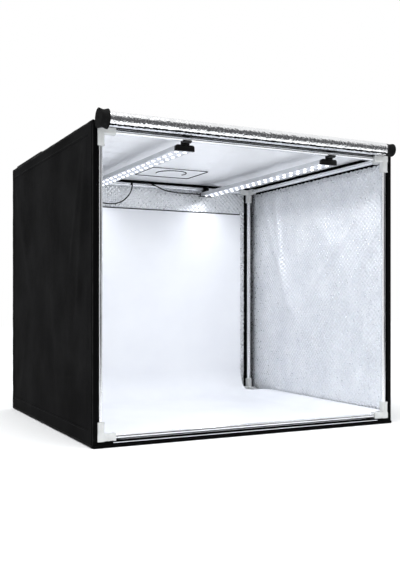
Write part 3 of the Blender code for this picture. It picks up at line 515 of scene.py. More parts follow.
low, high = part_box("cover_rear")
seams_x, seams_z = (low.x + edge_hem, high.x - edge_hem), (low.z + bottom_hem, high.z - top_hem)
x, z = lattice(with_seams(low.x, high.x, 96, seams_x), with_seams(low.z, high.z, 96, seams_z))
relief = 0.0013 * puckers(x, z, 8, 9.4) + folds(
    x, z,
    (0.0022, (-0.40, 0.72), (-0.18, 0.35), 0.028),
    (0.0020, (0.41, 0.72), (0.22, 0.30), 0.024),
    (0.0018, (-0.05, 0.06), (0.12, 0.48), 0.034),
)
relief *= fade(x, low.x, high.x, 0.05) * fade(z, low.z, high.z, 0.05)
relief -= 0.0007 * grooves((x, seams_x), (z, seams_z))
grommet_hole = circle((-0.038, 0.769), 0.0105, 24)
mesh = cut_sheet(grid_of(x, high.y + relief, z),
                 grid_of(x, high.y - cloth + np.maximum(relief, 0), z), grommet_hole, "Y")
stretched("cover_rear", mesh, nylon)

low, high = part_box("cover_roof")
seams_x, seams_y = (low.x + edge_hem, high.x - edge_hem), (low.y + 0.024, high.y - edge_hem)
x, y = lattice(with_seams(low.x, high.x, 96, seams_x), with_seams(low.y, high.y, 90, seams_y))
relief = 0.0010 * puckers(x, y, 7, 5.2) + folds(
    x, y,
    (0.0016, (0.40, -0.36), (0.10, -0.02), 0.030),
    (0.0014, (-0.36, -0.34), (-0.10, -0.06), 0.030),
)
relief *= fade(x, low.x, high.x, 0.05) * fade(y, low.y, high.y, 0.05)
relief -= 0.0007 * grooves((x, seams_x), (y, seams_y))
relief *= np.where((x < 0.15) & (y > 0.04) & (y < 0.36), 0.0, 1.0)
lens = (0.020, 0.185)
lens_hole = circle(lens, 0.055, 64)
mesh = cut_sheet(grid_of(x, y, high.z + relief),
                 grid_of(x, y, low.z + np.maximum(relief, 0)), lens_hole, "Z")
stretched("cover_roof", mesh, nylon)
dress("cover_base", nylon)

# Edge piping: a cord wrapped in black webbing, sewn into the outer seams of the cover. It stands a
# little proud of the cloth and is slightly uneven along its length.
webbing = new_material("edge webbing", (0.0010, 0.0010, 0.0011), 0.6, specular=0.04)
mottle(webbing, 30, 0.5, 0.7, target="Roughness")
emboss(webbing, 900, 0.00018)
emboss(webbing, 90, 0.0008, (1, 1, 0.5))
piping_radius = 0.0038
inset = 0.0006
x0, x1 = cover_low.x + inset, cover_high.x - inset
y0, y1 = cover_low.y + inset, cover_high.y - inset
z0, z1 = piping_radius + 0.0002, cover_high.z - inset
runs = [
    [(x0, y1, z0), (x0, y1, z1)], [(x1, y1, z0), (x1, y1, z1)],
    [(x0, y0, z1), (x0, y1, z1)], [(x1, y0, z1), (x1, y1, z1)], [(x0, y1, z1), (x1, y1, z1)],
    [(x0, y0, z0), (x0, y1, z0)], [(x1, y0, z0), (x1, y1, z0)], [(x0, y1, z0), (x1, y1, z0)],
    [(x0, y0, z0), (x1, y0, z0)],
]
bm = bmesh.new()
for number, (start, end) in enumerate(runs):
    stops = np.linspace(0, 1, 70)
    uneven = [noise.noise(Vector((t * 30, number * 3.7, 1.5))) for t in stops]
    radii = [piping_radius * (0.92 + 0.16 * value) for value in uneven]
    round_bar(bm, np.linspace(start, end, 70), radii, 10)
add_piece("edge_piping", bm, webbing, "tent", sharp=60)


# Front binding: doubled black webbing folded round the edge of the opening and sewn down. It is let
# in at its corners, where the connectors stand.
def rectangle(left, bottom, right, top):
    return [(left, bottom), (right, bottom), (right, top), (left, top)]


low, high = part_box("front_binding")
side_width = 0.0132
notch = 0.0107
corner_reach = 0.0383
sill_top, sill_notch = 0.0172, 0.0147
lower, upper = 0.024 + corner_reach, 0.760 - corner_reach
side_edge = cover_high.x - side_width
corner_x = cover_high.x - notch
notch_end = cover_high.x - 0.020 - corner_reach
right = [
    (notch_end, sill_top), (notch_end, sill_notch), (corner_x, sill_notch), (corner_x, lower),
    (side_edge, lower), (side_edge, upper), (corner_x, upper),
    (corner_x, high.z - notch), (notch_end, high.z - notch), (notch_end, high.z - side_width),
]
opening = prism(right + [(-a, b) for a, b in reversed(right)], "Y", low.y - 0.01, high.y + 0.01)
band = prism(rectangle(low.x, low.z, high.x, high.z), "Y", low.y, high.y)
mesh = combined(band, cut=[opening], bevel=0.0018, segments=3)
add_piece("front_binding_skin", mesh, webbing, "tent", ["front_binding"])

# Sill edging: the silver edge of the floor's film, folded out over the sill below the front tube
# and sewn down there.
sill_silver = new_material("sill film", (0.75, 0.77, 0.80), 0.3, 1.0)
mottle(sill_silver, 70, 0.2, 0.45, target="Roughness")
sill_half, sill_height = 0.40, 0.0118
outline = rounded_outline(sill_half, 0.0008, 0.0006, 2, (0, sill_height))
fold = prism(outline, "Y", low.y - 0.0009, low.y + 0.002)
add_piece("sill_edging", fold, sill_silver, "tent")


# Lining: silver film laminated to cloth, embossed with a fine grain. It is creased where it was
# folded, and gathered where it is sewn in below the top tubes.
def silver_film(name, roughness, metallic, dark, light, crumple, grain=0.0, weave=0.0, harsh=0.8):
    """Metallised film with a soft crumple, and fine grains or its cloth's diamonds, in metres."""
    made = new_material(name, light, roughness, metallic)
    mottle(made, 9, dark, light, detail=9.0, harsh=harsh)
    mottle(made, 160, roughness - 0.08, roughness + 0.12, target="Roughness", detail=2.0)
    emboss(made, 34, crumple)
    if grain:
        emboss(made, 190, grain, kind="Voronoi")
    if weave:
        emboss(made, 40, weave, kind="Wave")
        emboss(made, 40, weave, (1, 1, -1), "Wave")
    return made


def creases(a, b, seed, height):
    """Crumpled film: crisp ridges on a soft ground, always towards the inside."""
    values = [noise.ridged_multi_fractal(Vector((x * 5.5, y * 5.5, seed)), 1.0, 2.1, 3, 1.0, 2.0)
              for x, y in zip(a.ravel(), b.ravel())]
    return height * np.clip(np.array(values).reshape(a.shape) / 2.4, 0, 1)


def gathers(along, pitch, unevenness):
    return 0.5 + 0.5 * np.sin(math.tau * along / pitch + unevenness)


wall_film = silver_film("lining film", 0.33, 0.92, (0.82, 0.835, 0.86), (0.94, 0.95, 0.965), 0.0022,
                        weave=0.0010, harsh=0.6)
low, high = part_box("lining_left")
y, z = lattice(np.linspace(low.y, high.y, 150), np.linspace(low.z, high.z, 150))
creased = folds(
    y, z,
    (0.0052, (-0.36, 0.70), (0.05, 0.34), 0.015, 0.8),
    (0.0044, (-0.37, 0.60), (-0.10, 0.25), 0.014, 0.8),
    (0.0028, (-0.37, 0.45), (-0.22, 0.12), 0.010, 0.6),
    (0.0060, (0.30, 0.72), (0.10, 0.30), 0.022),
    (0.0045, (0.22, 0.74), (0.16, 0.42), 0.015),
    (0.0028, (0.05, 0.74), (-0.14, 0.50), 0.024),
    (0.0022, (-0.37, 0.20), (0.10, 0.45), 0.010, 0.6),
)
creased += 0.0034 * gathers(y, 0.043, 3 * noise_grid(y, z * 0.2, 9, 4.4)) * np.exp(-(high.z - z) / 0.055)
edge = fade(y, low.y, high.y, 0.03) * fade(z, low.z, high.z - 0.027, 0.02)
lining_back, lining_face = 0.0015, 0.0023
for side, sign in (("left", -1), ("right", 1)):
    inside = cover_high.x - wall_pull(y, z) - (creased + creases(y, z, 2.7 + sign, 0.0022)) * edge
    mesh = sheet(grid_of(sign * (inside - lining_face), y, z),
                 grid_of(sign * (inside - lining_back), y, z))
    stretched(f"lining_{side}", mesh, wall_film)

low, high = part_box("lining_rear")
x, z = lattice(np.linspace(low.x, high.x, 120), np.linspace(low.z, high.z, 100))
depth = creases(x, z, 6.1, 0.0012) * fade(x, low.x, high.x, 0.03) * fade(z, low.z, high.z, 0.028)
depth *= np.where(np.abs(x) < 0.41, np.clip((z - 0.69) / 0.02, 0, 1), 1)
mesh = cut_sheet(grid_of(x, low.y - depth, z), grid_of(x, high.y - depth, z), grommet_hole, "Y")
stretched("lining_rear", mesh, wall_film)

low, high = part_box("lining_roof")
x, y = lattice(np.linspace(low.x, high.x, 150), np.linspace(low.y, high.y, 140))
depth = creases(x, y, 8.3, 0.0018) + folds(
    x, y,
    (0.0020, (-0.05, -0.36), (0.10, 0.05), 0.012, 0.6),
    (0.0020, (0.38, -0.34), (0.14, -0.05), 0.012, 0.6),
)
depth += 0.0026 * gathers(y, 0.085, 2.5 * noise_grid(x, y, 4, 1.2)) * np.exp(-(x + 0.45) / 0.25)
depth *= fade(x, low.x, high.x, 0.03) * fade(y, low.y, high.y, 0.03)
depth *= np.clip(np.maximum(np.abs(x - lens[0]) - 0.105, np.abs(y - lens[1]) - 0.088) / 0.03, 0, 1)
mesh = cut_sheet(grid_of(x, y, low.z - depth), grid_of(x, y, high.z - depth), lens_hole, "Z")
# The ceiling's film is a lighter, less metallic copy of the wall film: painted light, so that the ceiling
# and the hatch look brighter than the walls.
painted_light_ceiling_film = silver_film("ceiling film", 0.38, 0.30, (0.93, 0.94, 0.955), (0.975, 0.98, 0.99), 0.0012)
stretched("lining_roof", mesh, painted_light_ceiling_film)
dress("lining_floor", wall_film)

# Seam tapes: black cloth tape folded to an L and sewn over the edges where two linings meet, its
# free edges uneven.
tape_cloth = nylon_cloth("seam tape", 0.003, 0.005)


def tape_strip(start, end, first, second, widths, seed):
    """An L-shaped tape from start to end, its legs along two directions."""
    count = int((end - start).length / 0.006)
    front, back = [], []
    for i in range(count + 1):
        place = start.lerp(end, i / count)
        one = widths[0] + 0.0014 * noise.noise(Vector((i * 0.45, seed, 0))) + 0.0005 * math.sin(i * 2.1)
        two = widths[1] + 0.0028 * noise.noise(Vector((i * 0.45, seed, 9))) + 0.0012 * math.sin(i * 1.7)
        legs = (first * one, first * one * 0.5, Vector(), second * two * 0.5, second * two)
        lifts = (second, second, first + second, first, first)
        back.append([place + leg for leg in legs])
        front.append([place + leg + lift * 0.001 for leg, lift in zip(legs, lifts)])
    return sheet(front, back)


for seed, tape in enumerate(("top_left", "top_right", "top_rear", "rear_left", "rear_right"), 1):
    name = f"seam_tape_{tape}"
    low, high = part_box(name)
    edge, side = tape.split("_")
    start, end = Vector(high), Vector(high)
    if side == "left":
        start.x = end.x = low.x
    first = Vector((1 if side == "left" else -1, 0, 0))
    down, forward = Vector((0, 0, -1)), Vector((0, -1, 0))
    if side == "rear":
        start.x = low.x
        first, second, widths = forward, down, (0.006, 0.010)
    elif edge == "rear":
        start.z = low.z
        second, widths = forward, (0.029, 0.004)
    else:
        start.y = low.y
        second, widths = down, (0.011, 0.026)
    mesh = tape_strip(start, end, first, second, widths, seed)
    add_piece(f"{name}_skin", mesh, tape_cloth, "tent", [name], 50)

# Front door: silver film on cloth, sewn along the front top edge and rolled up from its lower edge
# round an open core.
roll_film = silver_film("door film", 0.18, 1.0, (0.78, 0.79, 0.80), (0.90, 0.91, 0.92), 0.0003, 0.0007)
low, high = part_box("door_roll")
film_thickness = 0.0008
roll_radius = 0.0185
roll_axis = np.array((low.y + roll_radius, high.z - roll_radius))


def rolled(outer, pitch, start, step):
    """Points in Y and Z of a rolled sheet's middle line, from its outside inwards. Angles in degrees."""
    turned = step * np.arange(int((outer - 0.003) / pitch * 360 / step) + 1)
    radii = (outer - pitch * turned / 360)[:, None]
    angles = np.radians(start - turned)
    return roll_axis + radii * np.column_stack([np.cos(angles), np.sin(angles)])


def rolled_sheet(line, xs, thickness, wobble, shares):
    """A closed rolled sheet: the line's points in Y and Z, drawn in to a share at each place along X."""
    along = np.gradient(line, axis=0)
    along /= np.linalg.norm(along, axis=1)[:, None]
    normal = np.column_stack([-along[:, 1], along[:, 0]])
    faces = [], []
    for x, share in zip(xs, shares):
        bend = np.array([noise.noise(Vector((x * 14, a * 60, b * 60))) for a, b in line]) * wobble
        middle = roll_axis + (line - roll_axis) * share + normal * bend[:, None]
        for face, out in zip(faces, (thickness / 2, -thickness / 2)):
            face.append(np.insert(middle + normal * out, 0, x, axis=1))
    return sheet(*(np.swapaxes(face, 0, 1) for face in faces))


sewn = np.array((cover_low.y - 0.0007, cover_high.z - 0.0008))
middle_radius = roll_radius - film_thickness / 2
away_y, away_z = sewn - roll_axis
leaving = math.degrees(math.atan2(away_z, away_y) - math.acos(middle_radius / math.hypot(away_y, away_z)))
spiral = rolled(middle_radius, 0.00135, leaving, 12)
tail = [sewn + (spiral[0] - sewn) * t for t in np.linspace(0, 0.9, 6)]
line = np.concatenate([tail, spiral])
xs = np.linspace(low.x, high.x, 90)
mesh = rolled_sheet(line, xs, film_thickness, 0.00022, np.ones(90))
door = add_piece("door_roll_skin", mesh, roll_film, "tent", ["door_roll"], 60)

# Door edge: the black tape on the door's free edge, which lies along the roll's lower side. Its own
# edges are frayed.
front, back = [], []
for k, x in enumerate(np.linspace(low.x + 0.001, high.x - 0.001, 260)):
    frayed = [0.0022 + 0.0024 * noise.noise(Vector((k * 0.9, row, 4.5))) for row in (0, 7)]
    angle = math.radians(236 - 8 * k / 259)
    for face, radius in ((front, roll_radius + 0.0006), (back, roll_radius - 0.0002)):
        places = [roll_axis + radius * np.array((math.cos(a), math.sin(a)))
                  for a in (angle - frayed[0] / radius, angle, angle + frayed[1] / radius)]
        face.append([(x, *place) for place in places])
mesh = sheet(front, back)
add_piece("door_edge_tape", mesh, tape_cloth, "tent", sharp=60)

# Door ends: the door's hook-and-loop side strips, rolled up with it, so that they stand out at both
# ends of the roll with flared rims.
hook_pile = new_material("hook strip", (0.003, 0.003, 0.003), 0.85, specular=0.15)
mottle(hook_pile, 60, (0.002, 0.002, 0.002), (0.005, 0.005, 0.005))
emboss(hook_pile, 1100, 0.0005)
stops = np.linspace(0, 1, 13)
waist = 1 - 0.12 * np.sin(math.pi * stops) ** 1.5
strip_thickness = 0.0016
for side, outer in (("left", 0.0255), ("right", 0.0195)):
    name = f"door_end_{side}"
    low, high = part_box(name)
    line = rolled(outer - strip_thickness / 2, 0.0029, 0, 10)
    xs = low.x + (high.x - low.x) * stops
    mesh = rolled_sheet(line, xs, strip_thickness, 0.0003, waist)
    end = add_piece(f"{name}_skin", mesh, hook_pile, "tent", [name], 60)

# Backdrop: a white matte sheet that hangs from a hook strip and sweeps forward on to the floor. There
# it is wider, and its edges lie on the lower side tubes.
backdrop_white = new_material("backdrop sheet", (0.86, 0.87, 0.90), 0.5, specular=0.35)
mottle(backdrop_white, 5, (0.84, 0.85, 0.885), (0.88, 0.89, 0.915))
emboss(backdrop_white, 700, 0.00006)
low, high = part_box("backdrop")
thickness = 0.0012
sweep = 0.090
rear, floor = high.y - thickness / 2, low.z + thickness / 2
bend_y, bend_z = rear - sweep, floor + sweep
hanging, lying = cover_high.x - 0.050, high.x
taper = 0.085
way = [(rear, z, 0.0) for z in np.linspace(high.z - 0.004, bend_z, 30)[:-1]]
for degrees in np.linspace(0, 90, 31):
    turn = math.radians(degrees)
    place = (bend_y + sweep * math.cos(turn), bend_z - sweep * math.sin(turn))
    way.append((*place, ease((degrees - 40) / 50)))
way += [(y, floor, 1.0) for y in np.linspace(bend_y, bend_y - taper, 13)[1:]]
way += [(y, floor, 1.0) for y in np.linspace(bend_y - taper, low.y, 26)[1:]]
way_y, way_z, lift = np.array(way).T
half = hanging + (lying - hanging) * ease((bend_y - way_y) / taper)
x = np.linspace(-1, 1, 89)[:, None] * half
slope = ease((np.abs(x) - 0.3517) / 0.069)
hung = ease((way_z - bend_z) / 0.15) * ease((high.z - way_z) / 0.1)
y = way_y - 0.0022 * hung * (0.5 + 0.5 * np.cos(math.tau * x / 0.8 + 0.7))
grid = grid_of(x, y, way_z + (0.0339 - floor) * slope * lift)
normal = np.cross(np.gradient(grid, axis=0), np.gradient(grid, axis=1))
normal *= thickness / 2 / np.linalg.norm(normal, axis=-1, keepdims=True)
mesh = sheet(grid + normal, grid - normal)
backdrop = add_piece("backdrop_skin", mesh, backdrop_white, "tent", ["backdrop"], 60)
dress("backdrop_hook_strip", hook_pile)

# Lamp bars: pale anodised channels, each with a white board of domed diodes in two rows, black
# moulded end caps, and black clips that hang them on the front and rear top tubes.
glow = (0.94, 0.965, 1)
anodised = new_material("lamp channel", (0.74, 0.75, 0.77), 0.4, 0.85)
mottle(anodised, 300, 0.32, 0.48, (1, 0.03, 1), "Roughness")
board_white = new_material("lamp board", (0.70, 0.72, 0.78), 0.6, specular=0.2)
mottle(board_white, 120, (0.67, 0.69, 0.75), (0.73, 0.75, 0.80))
diode_lens = new_material("diode lens", (0.95, 0.96, 0.98), 0.2)
mottle(diode_lens, 200, (0.92, 0.93, 0.95), (0.95, 0.96, 0.98))
shader_input(diode_lens, "Emission Color").default_value = (*glow, 1)
shader_input(diode_lens, "Emission Strength").default_value = 2.2
black_plastic = new_material("black plastic", (0.003, 0.003, 0.003), 0.38, specular=0.25)
mottle(black_plastic, 80, 0.3, 0.5, target="Roughness")
emboss(black_plastic, 1300, 0.00006)


def group_with(name, inputs):
    """An empty Geometry Nodes group with named inputs, what it is given, and where its result goes."""
    group = bpy.data.node_groups.new(name, "GeometryNodeTree")
    for label, kind in (("Geometry", "Geometry"), *inputs):
        group.interface.new_socket(label, in_out="INPUT", socket_type=f"NodeSocket{kind}")
    group.interface.new_socket("Geometry", in_out="OUTPUT", socket_type="NodeSocketGeometry")
    given, result = add_node(group, "NodeGroupInput"), add_node(group, "NodeGroupOutput")
    return group, given.outputs, result.inputs["Geometry"]


def diode_group():
    """Diodes on a grid: a square package with a dome below it, each sized a little at random."""
    group, given, out = group_with("diodes on a board", (
        ("Width", "Float"), ("Length", "Float"), ("Rows", "Int"), ("Columns", "Int"),
        ("Dome radius", "Float"), ("Seed", "Int"), ("Lens", "Material"), ("Package", "Material"),
    ))
    grid = add_node(group, "GeometryNodeMeshGrid", {
        "Size X": given["Width"], "Size Y": given["Length"],
        "Vertices X": given["Rows"], "Vertices Y": given["Columns"],
    })
    package = add_node(group, "GeometryNodeMeshCube", {"Size": (0.0104, 0.0104, 0.0012)})
    dome = add_node(group, "GeometryNodeMeshUVSphere", {
        "Segments": 18, "Rings": 9, "Radius": given["Dome radius"],
    })
    flattened = add_node(group, "GeometryNodeTransform", {
        "Geometry": dome.outputs["Mesh"], "Scale": (1, 1, 0.72),
    })
    mark = add_node(group, "GeometryNodeStoreNamedAttribute", {
        "Geometry": flattened.outputs["Geometry"], "Name": "lens", "Value": True,
    }, data_type="BOOLEAN", domain="FACE")
    marked = add_node(group, "GeometryNodeInputNamedAttribute", {"Name": "lens"}, data_type="BOOLEAN")
    both = add_node(group, "GeometryNodeJoinGeometry", {"Geometry": package.outputs["Mesh"]})
    group.links.new(mark.outputs["Geometry"], both.inputs["Geometry"])
    size = add_node(group, "FunctionNodeRandomValue", {2: 0.97, 3: 1.03, "Seed": given["Seed"]})
    copies = add_node(group, "GeometryNodeInstanceOnPoints", {
        "Points": grid.outputs["Mesh"], "Instance": both.outputs["Geometry"], "Scale": size.outputs[1],
    })
    real = add_node(group, "GeometryNodeRealizeInstances", {"Geometry": copies.outputs["Instances"]})
    packages = add_node(group, "GeometryNodeSetMaterial", {
        "Geometry": real.outputs["Geometry"], "Material": given["Package"],
    })
    lenses = add_node(group, "GeometryNodeSetMaterial", {
        "Geometry": packages.outputs["Geometry"], "Material": given["Lens"],
        "Selection": marked.outputs["Attribute"],
    })
    group.links.new(lenses.outputs["Geometry"], out)
    return group


def grown(group, values, base=None):
    """The plain mesh that a group makes with these inputs."""
    host = new_object("host", base or bpy.data.meshes.new("host"))
    modifier = host.modifiers.new("grow", "NODES")
    modifier.node_group = group
    for item in group.interface.items_tree:
        if item.in_out == "INPUT" and item.name in values:
            modifier[item.identifier] = values[item.name]
    graph = bpy.context.evaluated_depsgraph_get()
    mesh = bpy.data.meshes.new_from_object(host.evaluated_get(graph))
    bpy.data.objects.remove(host)
    return mesh


def area_light(name, shape, size, power, place):
    made = new_object(name, bpy.data.lights.new(name, "AREA"))
    made.data.shape = shape
    made.data.size = size
    made.data.energy = power
    made.location = place
    return made


def cap_mesh(middle, half, low, high, outer, inward, boss=None):
    """An end cap with a pocket for the channel, from its outer face inwards, and a boss for a lead."""
    radius = 0.006
    pocket_half, rim = 0.0253, 0.0013
    depth, shell = 0.009, 0.004
    outline = [(middle - half, low), (middle + half, low)]
    outline += arc((middle + half - radius, high - radius), radius, 0, 90, 8)
    outline += arc((middle - half + radius, high - radius), radius, 90, 180, 8)
    cap = prism(outline, "Y", outer, outer + inward * depth)
    pocket = rectangle(middle - pocket_half, low + rim, middle + pocket_half, high - rim)
    cut = prism(pocket, "Y", *sorted((outer + inward * shell, outer + inward * 0.02)))
    last = [prism(boss, "Y", outer - 0.002, outer + 0.0035)] if boss else []
    return combined(cap, cut=[cut], last=last, bevel=0.0006)


def clip_outline(centre, inward, foot):
    """A clip's outline in Y and Z: an open hook round the tube, and the foot on the bar."""
    inner, outer = 0.0068, 0.0098
    stem = 0.0065
    points = arc((0, 0), outer, -150, -math.degrees(math.acos(stem / outer)), 14)
    points += [(stem, foot), (0.0115, foot), (0.0115, 0)]
    points += arc((0, 0), outer, 30, 80, 8)
    points += arc((0, 0), inner, 80, -150, 30)
    return [(centre.y + inward * a, centre.z + b) for a, b in points]


diodes_on_board = diode_group()
for side in ("left", "right"):
    body = f"{side}_lamp"
    dress(f"lamp_{side}_channel", anodised)
    low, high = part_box(f"lamp_{side}_board")
    middle = (low + high) / 2
    bottom = high.z - 0.0016
    board = prism(rectangle(low.x, bottom, high.x, high.z), "Y", low.y, high.y)
    add_piece(f"lamp_{side}_board_skin", board, board_white, body, [f"lamp_{side}_board"])
    mesh = grown(diodes_on_board, {
        "Width": 0.0245, "Length": (high.y - low.y) * 19 / 20, "Rows": 2, "Columns": 20,
        "Dome radius": 0.0051, "Seed": 4, "Lens": diode_lens, "Package": board_white,
    })
    mesh.transform(Matrix.Translation((middle.x, middle.y, bottom - 0.0005)))
    add_piece(f"lamp_{side}_diodes", mesh, None, body)
    below = (middle.x, middle.y, bottom - 0.006)
    beam = area_light(f"light of the {side} lamp", "RECTANGLE", 0.03, 1.15, below)
    beam.data.size_y = high.y - low.y
    beam.data.spread = math.radians(150)
    beam.data.color = glow
    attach(beam, body)
    for end, inward in (("front", 1), ("rear", -1)):
        name = f"lamp_{side}_end_cap_{end}"
        low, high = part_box(name)
        outer = low.y if end == "front" else high.y - 0.0035
        boss = circle((middle.x, tube_middle.z - 0.0213), 0.0035, 24) if end == "rear" else None
        mesh = cap_mesh(middle.x, (high.x - low.x) / 2, low.z, high.z, outer, inward, boss)
        add_piece(f"{name}_skin", mesh, black_plastic, body, [name])

        name = f"lamp_{side}_clip_{end}"
        low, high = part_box(name)
        tube_low, tube_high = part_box(f"top_tube_{end}")
        centre = (tube_low + tube_high) / 2
        clip = prism(clip_outline(centre, inward, low.z - centre.z), "X", low.x, high.x)
        add_piece(f"{name}_skin", combined(clip, bevel=0.0004), black_plastic, body, [name])

# Ceiling hatch: a flap of lining film that closes the lens opening from inside. Its edge is bound in black,
# and a curved black line lies on its middle along the lens hole: painted shade where the hole shows
# through.
low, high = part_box("ceiling_hatch")
middle = (low + high) / 2
half_x, half_y = (high.x - low.x) / 2, (high.y - low.y) / 2
flap = prism(rounded_outline(half_x, half_y, 0.010, 6, middle), "Z", low.z + 0.0004, high.z)
hatch = add_piece("ceiling_hatch_skin", flap, painted_light_ceiling_film, "hatch", ["ceiling_hatch"])
bound = rounded_outline(half_x - 0.002, half_y - 0.002, 0.009, 6, middle)
bm = round_bar(bmesh.new(), [(x, y, low.z + 0.0001) for x, y in bound + bound[:1]], 0.0018, 8)
# The curved line is painted shade: a black line along the lens hole's outline, where it shows through the
# flap.
round_bar(bm, [(x, y, low.z - 0.0002) for x, y in arc(lens, 0.050, -200, 20, 40)], 0.0016, 8)
add_piece("hatch_edging", bm, tape_cloth, "hatch", sharp=60)

# Roof flap: doubled nylon over the lens opening, sewn along the roof's left edge with a thick hem
# and hemmed flat on its other edges.
low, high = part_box("roof_flap")
flap_hem = 0.012
seams_x, seams_y = (high.x - flap_hem,), (low.y + flap_hem, high.y - flap_hem)
xs = with_seams(low.x + 0.001, high.x, 70, (low.x + 0.016, *seams_x))
x, y = lattice(xs, with_seams(low.y, high.y, 50, seams_y))
top = low.z + 0.0025 + 0.0042 * np.exp(-((x - low.x - 0.008) / 0.007) ** 4)
top += 0.0014 * puckers(x, y, 10, 7.7) * fade(x, low.x, high.x, 0.05) * fade(y, low.y, high.y, 0.04)
top -= 0.0008 * grooves((x, seams_x), (y, seams_y))
mesh = sheet(grid_of(x, y, top), grid_of(x, y, low.z))
flap = add_piece("roof_flap_skin", mesh, nylon, "lens_flap", ["roof_flap"], 50)


# Stitching: black thread in short even stitches, sewn through the hems of the side walls, the rear
# wall and the roof.
def stitch_group():
    """Stitches along lines: small long beads at an even pitch, each sized a little at random."""
    group, given, out = group_with("stitches along lines", (
        ("Pitch", "Float"), ("Stitch length", "Float"), ("Thickness", "Float"),
        ("Seed", "Int"), ("Material", "Material"),
    ))
    curve = add_node(group, "GeometryNodeMeshToCurve", {"Mesh": given["Geometry"]})
    even = add_node(group, "GeometryNodeResampleCurve", {
        "Curve": curve.outputs["Curve"], "Length": given["Pitch"],
    }, mode="LENGTH")
    tangent = add_node(group, "GeometryNodeInputTangent")
    turn = add_node(group, "FunctionNodeAlignRotationToVector", {
        "Vector": tangent.outputs["Tangent"],
    }, axis="X")
    bead = add_node(group, "GeometryNodeMeshUVSphere", {"Segments": 6, "Rings": 4, "Radius": 0.5})
    size = add_node(group, "ShaderNodeCombineXYZ", {
        "X": given["Stitch length"], "Y": given["Thickness"], "Z": given["Thickness"],
    })
    spread = add_node(group, "FunctionNodeRandomValue", {2: 0.9, 3: 1.1, "Seed": given["Seed"]})
    scale = add_node(group, "ShaderNodeVectorMath", {
        "Vector": size.outputs["Vector"], "Scale": spread.outputs[1],
    }, operation="SCALE")
    copies = add_node(group, "GeometryNodeInstanceOnPoints", {
        "Points": even.outputs["Curve"], "Instance": bead.outputs["Mesh"],
        "Rotation": turn.outputs["Rotation"], "Scale": scale.outputs["Vector"],
    })
    real = add_node(group, "GeometryNodeRealizeInstances", {"Geometry": copies.outputs["Instances"]})
    paint = add_node(group, "GeometryNodeSetMaterial", {
        "Geometry": real.outputs["Geometry"], "Material": given["Material"],
    })
    group.links.new(paint.outputs["Geometry"], out)
    return group


def lines_mesh(axis, place, rows):
    """Lines on a flat face across the axis, each between two points given in the two other axes."""
    points = np.insert(np.array(rows, float).reshape(-1, 2), axis, place, axis=1)
    mesh = bpy.data.meshes.new("stitch lines")
    mesh.from_pydata(points.tolist(), [(i, i + 1) for i in range(0, len(points), 2)], [])
    return mesh


thread = new_material("black thread", (0.0022, 0.0022, 0.0023), 0.6, specular=0.15)
mottle(thread, 200, (0.0016, 0.0016, 0.0017), (0.0034, 0.0034, 0.0035))
stitches = stitch_group()
beside = 0.006
front_row, rear_row = hem_front - beside, hem_rear + beside
low_row, high_row = hem_bottom - beside, hem_top + beside
edge_x = 0.425
side_rows = [
    ((front_row, low_row), (front_row, high_row)), ((rear_row, low_row), (rear_row, high_row)),
    ((hem_front, high_row), (hem_rear, high_row)), ((hem_front, low_row), (hem_rear, low_row)),
]
rear_low, rear_high = 0.05, 0.745
rear_rows = [
    ((-edge_x, rear_low), (-edge_x, rear_high)), ((edge_x, rear_low), (edge_x, rear_high)),
    ((-edge_x, rear_high), (edge_x, rear_high)), ((-edge_x, rear_low), (edge_x, rear_low)),
]
roof_front, roof_rear, flap_front = -0.36, 0.376, 0.045
roof_rows = [
    ((edge_x, roof_front), (edge_x, roof_rear)), ((-edge_x, roof_front), (-edge_x, flap_front)),
    ((-edge_x, roof_front), (edge_x, roof_front)), ((-edge_x, roof_rear), (edge_x, roof_rear)),
]
for panel, axis, place, rows in (
    ("left", 0, -cover_high.x - 0.0012, side_rows), ("right", 0, cover_high.x + 0.0012, side_rows),
    ("rear", 1, cover_high.y + 0.0001, rear_rows), ("roof", 2, cover_high.z + 0.0001, roof_rows),
):
    mesh = grown(stitches, {
        "Pitch": 0.005, "Stitch length": 0.0036, "Thickness": 0.0007, "Seed": 2, "Material": thread,
    }, lines_mesh(axis, place, rows))
    add_piece(f"stitches_{panel}", mesh, thread, "tent", sharp=80)

# Cable grommet and power inlet: a soft rubber bush pushed into the rear wall, and a moulded socket
# outside it.
dress("cable_grommet", rubber)
dress("power_inlet", black_plastic)

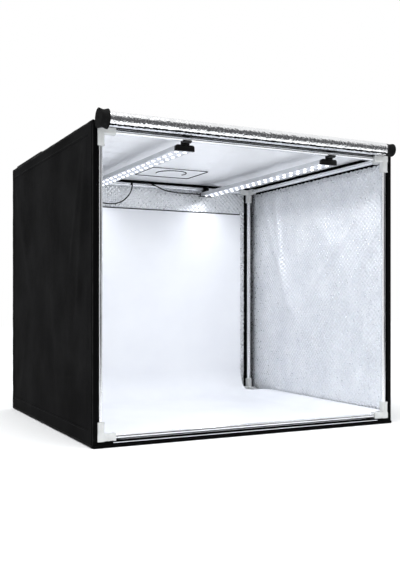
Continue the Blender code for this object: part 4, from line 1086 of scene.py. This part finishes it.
# Studio: a plain pale floor, white surroundings and one large soft light above the tent's front.
# They light the tent at a plain level and are no part of it.
floor_mesh = bpy.data.meshes.new("studio floor")
floor_mesh.from_pydata([(-9, -1.6, 0), (9, -1.6, 0), (9, 9, 0), (-9, 9, 0)], [], [(0, 1, 2, 3)])
floor_white = new_material("studio floor", (0.985, 0.985, 0.985), 0.9, specular=0.0)
mottle(floor_white, 2, (0.983, 0.983, 0.983), (0.987, 0.987, 0.987))
floor_mesh.materials.append(floor_white)
new_object("studio floor", floor_mesh)
area_light("light above", "DISK", 2, 48, (-0.6, -1.0, 3.4))
world = bpy.data.worlds.new("studio")
bpy.context.scene.world = world
world.use_nodes = True
tree = world.node_tree
tree.nodes.clear()
lit = add_node(tree, "ShaderNodeBackground", {"Color": (0.97, 0.985, 1, 1), "Strength": 1.15})
# The surroundings are seen as white. Metal and glass show them too, with a dark part before the tent.
place = add_node(tree, "ShaderNodeTexCoord")
before = {0: place.outputs["Generated"], 1: (0.30, -0.95, 0.08)}
facing = add_node(tree, "ShaderNodeVectorMath", before, operation="DOT_PRODUCT")
ramp = add_node(tree, "ShaderNodeValToRGB", {"Fac": facing.outputs["Value"]})
set_ramp(ramp, (0.70, 1), (0.82, (0.10, 0.10, 0.105)))
rays = add_node(tree, "ShaderNodeLightPath").outputs
around = {0: rays["Is Camera Ray"], 6: ramp.outputs["Color"], 7: (1, 1, 1, 1)}
plain = add_node(tree, "ShaderNodeMix", around, data_type="RGBA")
seen = add_node(tree, "ShaderNodeBackground", {"Color": plain.outputs[2]})
shown = rays["Is Camera Ray"]
for ray in ("Is Glossy Ray", "Is Transmission Ray"):
    either = add_node(tree, "ShaderNodeMath", {0: shown, 1: rays[ray]}, operation="MAXIMUM")
    shown = either.outputs["Value"]
both = {0: shown, 1: lit.outputs["Background"], 2: seen.outputs["Background"]}
mix = add_node(tree, "ShaderNodeMixShader", both)
add_node(tree, "ShaderNodeOutputWorld", {"Surface": mix.outputs["Shader"]})
